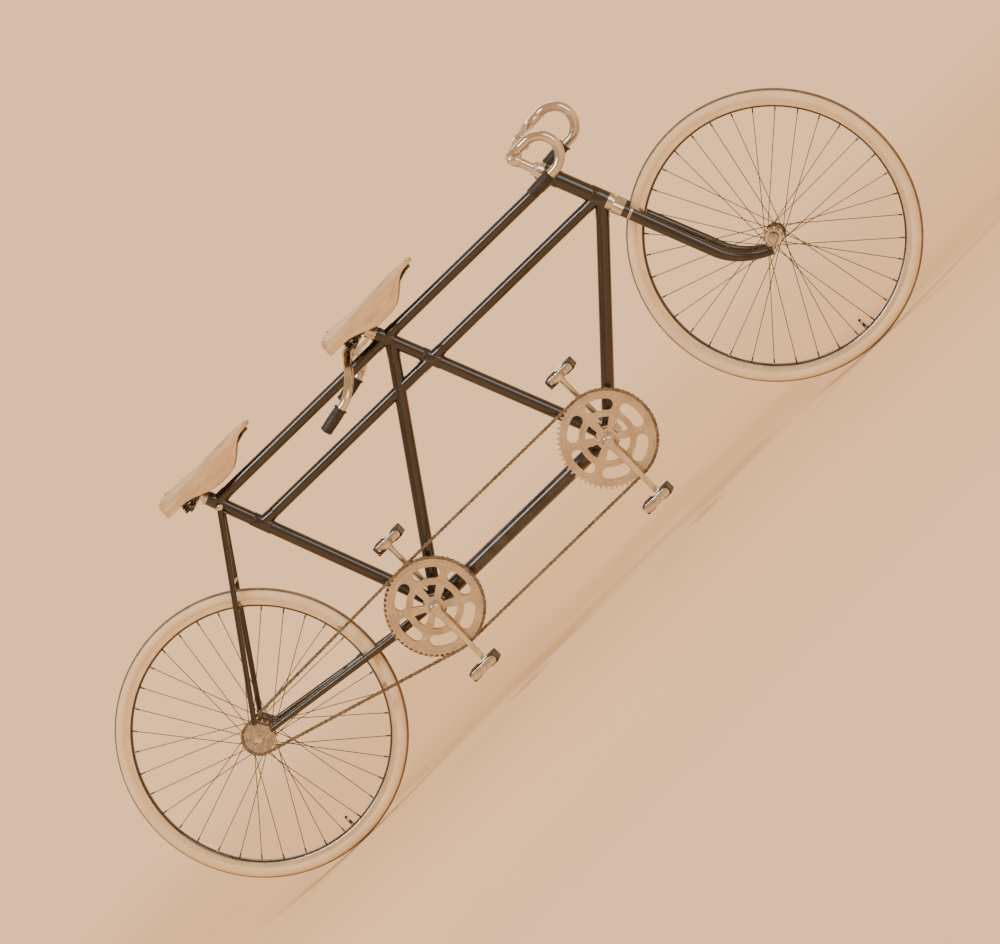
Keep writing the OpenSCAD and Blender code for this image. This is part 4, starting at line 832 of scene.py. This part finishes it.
def saddle(rider, at, body, post_up):
    stations, across_steps = 64, 44
    outer, inner = [], []
    for i in range(stations + 1):
        u = 0.5 - 0.5 * math.cos(math.pi * mix(0.02, 0.98, i / stations))
        waves = [math.cos(math.pi * k / across_steps) for k in range(across_steps + 1)]
        line = [0.5 - 0.5 * c * (0.7 + 0.3 * abs(c)) for c in waves]
        outer.append([at + saddle_point(u, v) for v in line])
        inner.append([at + saddle_point(u, v, min(4.6, saddle_half(u) * 0.2)) for v in line])
    build = Build()
    n = across_steps + 1
    rings = []
    for o, i in zip(outer, inner):
        lip_a = [mix(o[-1], i[-1], t) + Vector((0, 0, -1.1 * math.sin(math.pi * t))) for t in (0.3, 0.7)]
        lip_b = [mix(i[0], o[0], t) + Vector((0, 0, -1.1 * math.sin(math.pi * t))) for t in (0.3, 0.7)]
        rings.append(o + lip_a + i[::-1] + lip_b)
    verts = [p for r in rings for p in r]
    m = len(rings[0])
    faces = [(a * m + k, a * m + (k + 1) % m, (a + 1) * m + (k + 1) % m, (a + 1) * m + k)
             for a in range(stations) for k in range(m)]
    for base, flip in ((0, 1), (stations * m, -1)):
        pairs = [(k, 2 * n + 1 - k) for k in range(n)]
        for (a, b), (c, d) in zip(pairs, pairs[1:]):
            faces.append(tuple(base + v for v in (a, b, d, c))[::flip])
        faces.append(tuple(base + v for v in (0, m - 1, m - 2, pairs[0][1]))[::flip])
        faces.append(tuple(base + v for v in (n - 1, pairs[-1][1], n + 1, n))[::flip])
    build.add(verts, faces)
    build.finish(f"{rider}_saddle_leather", body, [leather], "leather", [f"{rider}_saddle_cover"], sharp=60)

    trim = Build()
    for side in (0, 1):
        for k in range(64):
            u = mix(0.10, 0.955, k / 63)
            ends = []
            for du in (-0.0035, 0.0035):
                v = 0.5 - 0.5 * math.cos(math.pi * 0.012) + 0.02
                p = saddle_point(u + du, v if side else 1 - v)
                q = saddle_point(u + du, (v + 0.02) if side else 1 - v - 0.02)
                out = Vector((0, p.y, 0)).normalized() * 0.25
                ends.append(at + mix(p, q, 0.5) + out)
            a, b = ends
            trim.sweep([a, mix(a, b, 0.25) + Vector((0, 0, 0.1)), mix(a, b, 0.75), b],
                       [0.35, 0.75, 0.75, 0.35], None, 8)
    trim.finish(f"{rider}_saddle_stitching", body, [thread], "leather")

    rivets = Build()
    for v in (0.12, 0.26, 0.42, 0.58, 0.74, 0.88):
        p, q = saddle_point(0.052, v), saddle_point(0.09, v)
        normal = (p - Vector((0, 0, -60))).normalized()
        rivets.lathe(at + mix(p, q, 0.4) - normal * 0.4, normal, dome(4.6, 1.9), 20)
    for v in (0.3, 0.5, 0.7):
        p = saddle_point(0.965, v)
        normal = Vector((0.5, p.y * 0.04, 0.7)).normalized()
        rivets.lathe(at + p - normal * 0.3, normal, dome(3.4, 1.5), 18)
    rivets.finish(f"{rider}_saddle_rivets", body, [copper], "chrome")

    spring_x, spring_y = -0.29 * SADDLE_L, 0.3 * SADDLE_W
    rail_y, rail_z, bar_z, plate_z = 22, -48, -63, -16
    frame_build, coils = Build(), Build()
    for side in (-1, 1):
        tail = [(spring_x, 34, bar_z), (spring_x + 6, 22, rail_z), (-74, rail_y, rail_z)]
        front_run = [(-20, rail_y, rail_z), (30, 10, rail_z), (0.44 * SADDLE_L, 6, -17)]
        path = [bezier(tail, k / 16) for k in range(17)] + [bezier(front_run, k / 20) for k in range(21)]
        frame_build.sweep([at + Vector((p.x, side * p.y, p.z)) for p in path], 3.5, None, 16)
        foot = at + Vector((spring_x, side * spring_y, bar_z + 1))
        dish = [(0, 14.0), (0.8, 16.6), (2.4, 17.0), (4.6, 16.2), (5.4, 12.0)]
        frame_build.lathe(foot, (0, 0, 1), dish, 36)
        hexagon(frame_build, foot, (0, 0, -1), 5, 11)
        low, high = foot.z + 7.6, at.z + plate_z - 2.6
        wire = []
        turns = 5.5
        for k in range(round(turns * 26) + 1):
            t = k / (turns * 26)
            a = 2 * math.pi * turns * t + (math.pi if side > 0 else 0)
            r = 13.6 + 1.9 * math.sin(math.pi * t) ** 2 * -0.6
            end = min(t, 1 - t)
            flat = 0.06 * end if t < 0.5 else 1 - 0.06 * end
            climb = mix(flat, t, smooth(end / 0.12))
            wire.append(Vector((foot.x + r * math.cos(a) * side, foot.y + r * math.sin(a),
                                mix(low, high, climb))))
        coils.sweep(wire, 2.3, None, 12)
    bar_end = at + Vector((spring_x, -spring_y - 8, bar_z))
    frame_build.lathe(bar_end, Y, rounded(2 * spring_y + 16, 4.5, 1.0), 24)
    plate = [at + Vector((spring_x + 1.5, y, plate_z + 1.5)) for y in range(-72, 73, 4)]
    wide = [11.0 * math.sqrt(max(0.03, 1 - (abs(p.y - at.y) / 73.5) ** 6)) for p in plate]
    frame_build.sweep(plate, wide, [1.6] * len(plate), 20, (1, 0, 0))
    nose = at + Vector((0.435 * SADDLE_L, 0, -19))
    frame_build.sweep([nose + Vector((x, 0, 0)) for x in (-9, -8, 5, 6)],
                      [8, 10.5, 8.5, 6], [3.5, 5, 4.5, 3], 20, (0, 1, 0))
    hexagon(frame_build, nose + Vector((4, 0, 0)), (-1, 0, 0), 26, 8)
    axis_top = at + Vector((0, 0, rail_z))
    seat = stoker_bb if rider == "stoker" else captain_bb
    clamp = on_axis(seat, post_up, axis_top.z)
    collar = [(0, 14.2), (0, 15.6), (1, 16.4), (14, 16.4), (15, 15.6), (15, 14.2), (14.4, 13.7), (0.6, 13.7)]
    frame_build.lathe(clamp - post_up * 7, post_up, collar, 36, loop=True)
    for side in (-1, 1):
        for y0, y1, r in ((16.0, 27.5, 10.5), (28.2, 31.2, 9.0)):
            frame_build.lathe(clamp + across(side * y0), Y * side, rounded(y1 - y0, r, 0.9), 28)
        hexagon(frame_build, clamp + across(side * 31.4), Y * side, 5.5, 11)
        frame_build.lathe(clamp + across(side * 36.9), Y * side, [(0, 4), (1.6, 4), (2.2, 3.2)], 16)
    frame_build.finish(f"{rider}_saddle_frame", body, [spring_steel], "steel", [f"{rider}_saddle_chassis"])
    coils.finish(f"{rider}_saddle_coils", body, [spring_steel], "steel")


captain_post = on_axis(captain_bb, captain_up, top_z + 102 - 46)
stoker_post = on_axis(stoker_bb, stoker_up, top_z + 95 - 46)
saddle("captain", Vector((captain_post.x + 52, 0, top_z + 102)), "captain_seat", captain_up)
saddle("stoker", Vector((stoker_post.x + 62, 0, top_z + 95)), "stoker_seat", stoker_up)


# ---------- Brazed lugs and small frame fittings ----------

def lug(build, start, axis, r, length, point, lobes=2, phase=0.0, skin=1.25, both=False):
    """A sleeve brazed round a tube, its free edge cut to long points."""
    axis = Vector(axis).normalized()
    side = Y if abs(axis.y) < 0.9 else Vector((0, 0, 1))
    up = axis.cross(side)
    sides = 48
    rings = []

    def ring(radius, edge):
        points = []
        for k in range(sides):
            a = 2 * math.pi * k / sides
            reach = edge(abs(math.cos(lobes * (a - phase) / 2)) ** 2.2) if callable(edge) else edge
            points.append(Vector(start) + axis * reach
                          + side * (radius * math.cos(a)) + up * (radius * math.sin(a)))
        return points

    if both:
        rings.append(ring(r - 0.4, lambda c: -length - point * c))
        rings.append(ring(r + skin * 0.6, lambda c: -length - point * c + 0.3))
        rings.append(ring(r + skin, lambda c: -length - point * c + 1.6))
    else:
        rings.append(ring(r - 0.4, 0.0))
        rings.append(ring(r + skin, 0.0))
    rings.append(ring(r + skin, lambda c: length + point * c - 1.6))
    rings.append(ring(r + skin * 0.6, lambda c: length + point * c - 0.3))
    rings.append(ring(r - 0.4, lambda c: length + point * c))
    build.rings(rings)


def frame_lugs():
    build = Build()
    seat_r, main_r = 15.9, 14.3
    forward, backward = Vector((1, 0, 0)), Vector((-1, 0, 0))
    low_s, high_s = HEAD_LOW, HEAD_TOP
    head = [on_axis(steer_foot, steer_up, top_z), on_axis(steer_foot, steer_up, lateral_z),
            steering(0, 0, low_s + 13)]
    lug(build, steering(0, 0, high_s - 0.4), -steer_up, 20, 34, 10, 2, math.pi / 2)
    lug(build, steering(0, 0, low_s + 0.4), steer_up, 20, 36, 10, 2, math.pi / 2)
    down = (captain_bb - head[2]).normalized()
    lug(build, head[0] + backward * 10, backward, main_r, 30, 13)
    lug(build, head[1] + backward * 10, backward, main_r, 30, 13)
    lug(build, head[2] + down * 12, down, seat_r, 34, 15)
    for bb, axis, rising in ((captain_bb, captain_up, True), (stoker_bb, stoker_up, False)):
        top = on_axis(bb, axis, top_z)
        cross = on_axis(bb, axis, lateral_z)
        lug(build, on_axis(bb, axis, seat_top_z) - axis * 8.1, -axis, seat_r, 38, 9, 2, math.pi / 2)
        lug(build, cross, axis, seat_r, 20, 8, 2, math.pi / 2, both=True)
        lug(build, top + forward * 8, forward, main_r, 27, 13)
        lug(build, cross + forward * 8, forward, main_r, 25, 12)
        if rising:
            lug(build, top + backward * 8, backward, main_r, 27, 13)
            lug(build, cross + backward * 8, backward, main_r, 25, 12)
            top_end = on_axis(bb, axis, top_z - 14)
            diagonal = (stoker_bb - top_end).normalized()
            lug(build, top_end + diagonal * 9, diagonal, main_r + 0.7, 30, 13)
        lug(build, bb + axis * 20, axis, seat_r, 26, 12)
    lug(build, captain_bb - down * 20, -down, seat_r, 26, 12)
    lug(build, stoker_bb - diagonal * 20, -diagonal, main_r + 0.7, 28, 12)
    lug(build, stoker_bb + forward * 18, forward, 19.05, 28, 12)
    lug(build, captain_bb + backward * 18, backward, 19.05, 28, 12)
    build.finish("brazed_lugs", "frame", [black_paint], "frame_paint", sharp=40)

    fittings = Build()
    eye = on_axis(stoker_bb, stoker_up, top_z - 12) + Vector((-4, 0, 0))
    for side in (-1, 1):
        bolt = [(0, 8.2), (0.8, 8.6), (2.0, 8.0), (4.2, 6.0), (5.4, 3.2), (5.8, 0.5)]
        fittings.lathe(eye + across(side * 24.4), Y * side, bolt, 28)
    for s in (378.5, 386.0):
        fittings.lathe(steering(0, 0, s), steer_up, [(0, 20.3), (0.5, 21.2), (1.5, 21.2), (2.0, 20.3)], 40)
    fittings.finish("bright_frame_fittings", "frame", [chrome], "chrome")


frame_lugs()


# ---------- Finishes for the pieces kept from the frame ----------

finishes = {
    "black": (black_paint, "head_tube top_tube lateral_tube down_tube captain_seat_tube stoker_seat_tube "
              "mid_diagonal "
              "boom_tube captain_bb_shell stoker_bb_shell chain_stays seat_stays"),
    "chrome": (chrome, "headset_cups bb_cups seat_binders headset_races fork_crown stem_bolts "
               "front_bar captain_seatpost "
               "stoker_seatpost stoker_stem rear_hub front_hub rear_axle front_axle bearing_balls"),
    "nickel": (nickel, "captain_ring stoker_timing_ring stoker_drive_ring"),
    "steel": (dull_steel, "rear_dropouts fork_ends rear_cog"),
    "spokes": (spoke_steel, "front_spokes rear_spokes"),
    "rubber": (black_rubber, "front_inner_tube rear_inner_tube"),
}
for material, names in finishes.values():
    for name in names.split():
        obj = frame["nodes"][name]
        for place in obj.material_slots:
            place.material = material


# ---------- Floor, background and lamps ----------

PALE = (1.5, 0.87, 0.42)
PALE_FLOOR = (0.93, 0.66, 0.39)
FLOOR_R = 70             # Metres


def make_stage():
    world = bpy.data.worlds.new("pale_room")
    bpy.context.scene.world = world
    world.use_nodes = True
    sky = world.node_tree.nodes["Background"]
    sky.inputs["Color"].default_value = (*PALE, 1)
    sky.inputs["Strength"].default_value = 0.6

    mat = bpy.data.materials.new("pale_floor")
    mat.use_nodes = True
    tree = mat.node_tree
    bsdf = next(n for n in tree.nodes if n.type == "BSDF_PRINCIPLED")
    out = next(n for n in tree.nodes if n.type == "OUTPUT_MATERIAL")
    bsdf.inputs["Base Color"].default_value = (*PALE_FLOOR, 1)
    bsdf.inputs["Roughness"].default_value = 0.9
    bsdf.inputs["Specular IOR Level"].default_value = 0.1
    glow = tree.nodes.new("ShaderNodeEmission")
    glow.inputs["Color"].default_value = (*PALE, 1)
    place = tree.nodes.new("ShaderNodeTexCoord")
    far = tree.nodes.new("ShaderNodeVectorMath")
    far.operation = "LENGTH"
    tree.links.new(place.outputs["Object"], far.inputs[0])
    fade = tree.nodes.new("ShaderNodeMapRange")
    fade.interpolation_type = "SMOOTHSTEP"
    fade.inputs["From Min"].default_value = 1.3
    fade.inputs["From Max"].default_value = 5.0
    tree.links.new(far.outputs["Value"], fade.inputs["Value"])
    blend = tree.nodes.new("ShaderNodeMixShader")
    tree.links.new(fade.outputs["Result"], blend.inputs[0])
    tree.links.new(bsdf.outputs[0], blend.inputs[1])
    tree.links.new(glow.outputs[0], blend.inputs[2])
    tree.links.new(blend.outputs[0], out.inputs["Surface"])
    mesh = bpy.data.meshes.new("floor")
    sides = 96
    rim = oval(Vector((0, 0, 0)), Vector((FLOOR_R, 0, 0)), Vector((0, FLOOR_R, 0)), sides)
    mesh.from_pydata(rim, [], [tuple(range(sides))])
    mesh.materials.append(mat)
    floor = bpy.data.objects.new("floor", mesh)
    floor.location.z = -0.0005
    bpy.context.scene.collection.objects.link(floor)
    floor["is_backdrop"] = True


def lamp(name, at, target, size, power, colour=(1, 1, 1)):
    data = bpy.data.lights.new(name, "AREA")
    data.shape = "RECTANGLE"
    data.size, data.size_y = size
    data.energy = power
    data.color = colour
    obj = bpy.data.objects.new(name, data)
    obj.location = at
    obj.rotation_euler = (Vector(target) - Vector(at)).to_track_quat("-Z", "Y").to_euler()
    bpy.context.scene.collection.objects.link(obj)


make_stage()
lamp("key", (-1.6, -3.4, 4.6), (0, 0, 0.45), (4.0, 1.2), 210, (1.0, 0.97, 0.92))
lamp("fill", (3.6, -2.6, 1.9), (0, 0, 0.5), (2.2, 2.2), 40, (1.0, 0.98, 0.95))
lamp("back", (0.6, 3.6, 3.2), (0, 0, 0.5), (3.6, 1.2), 60)

low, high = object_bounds()
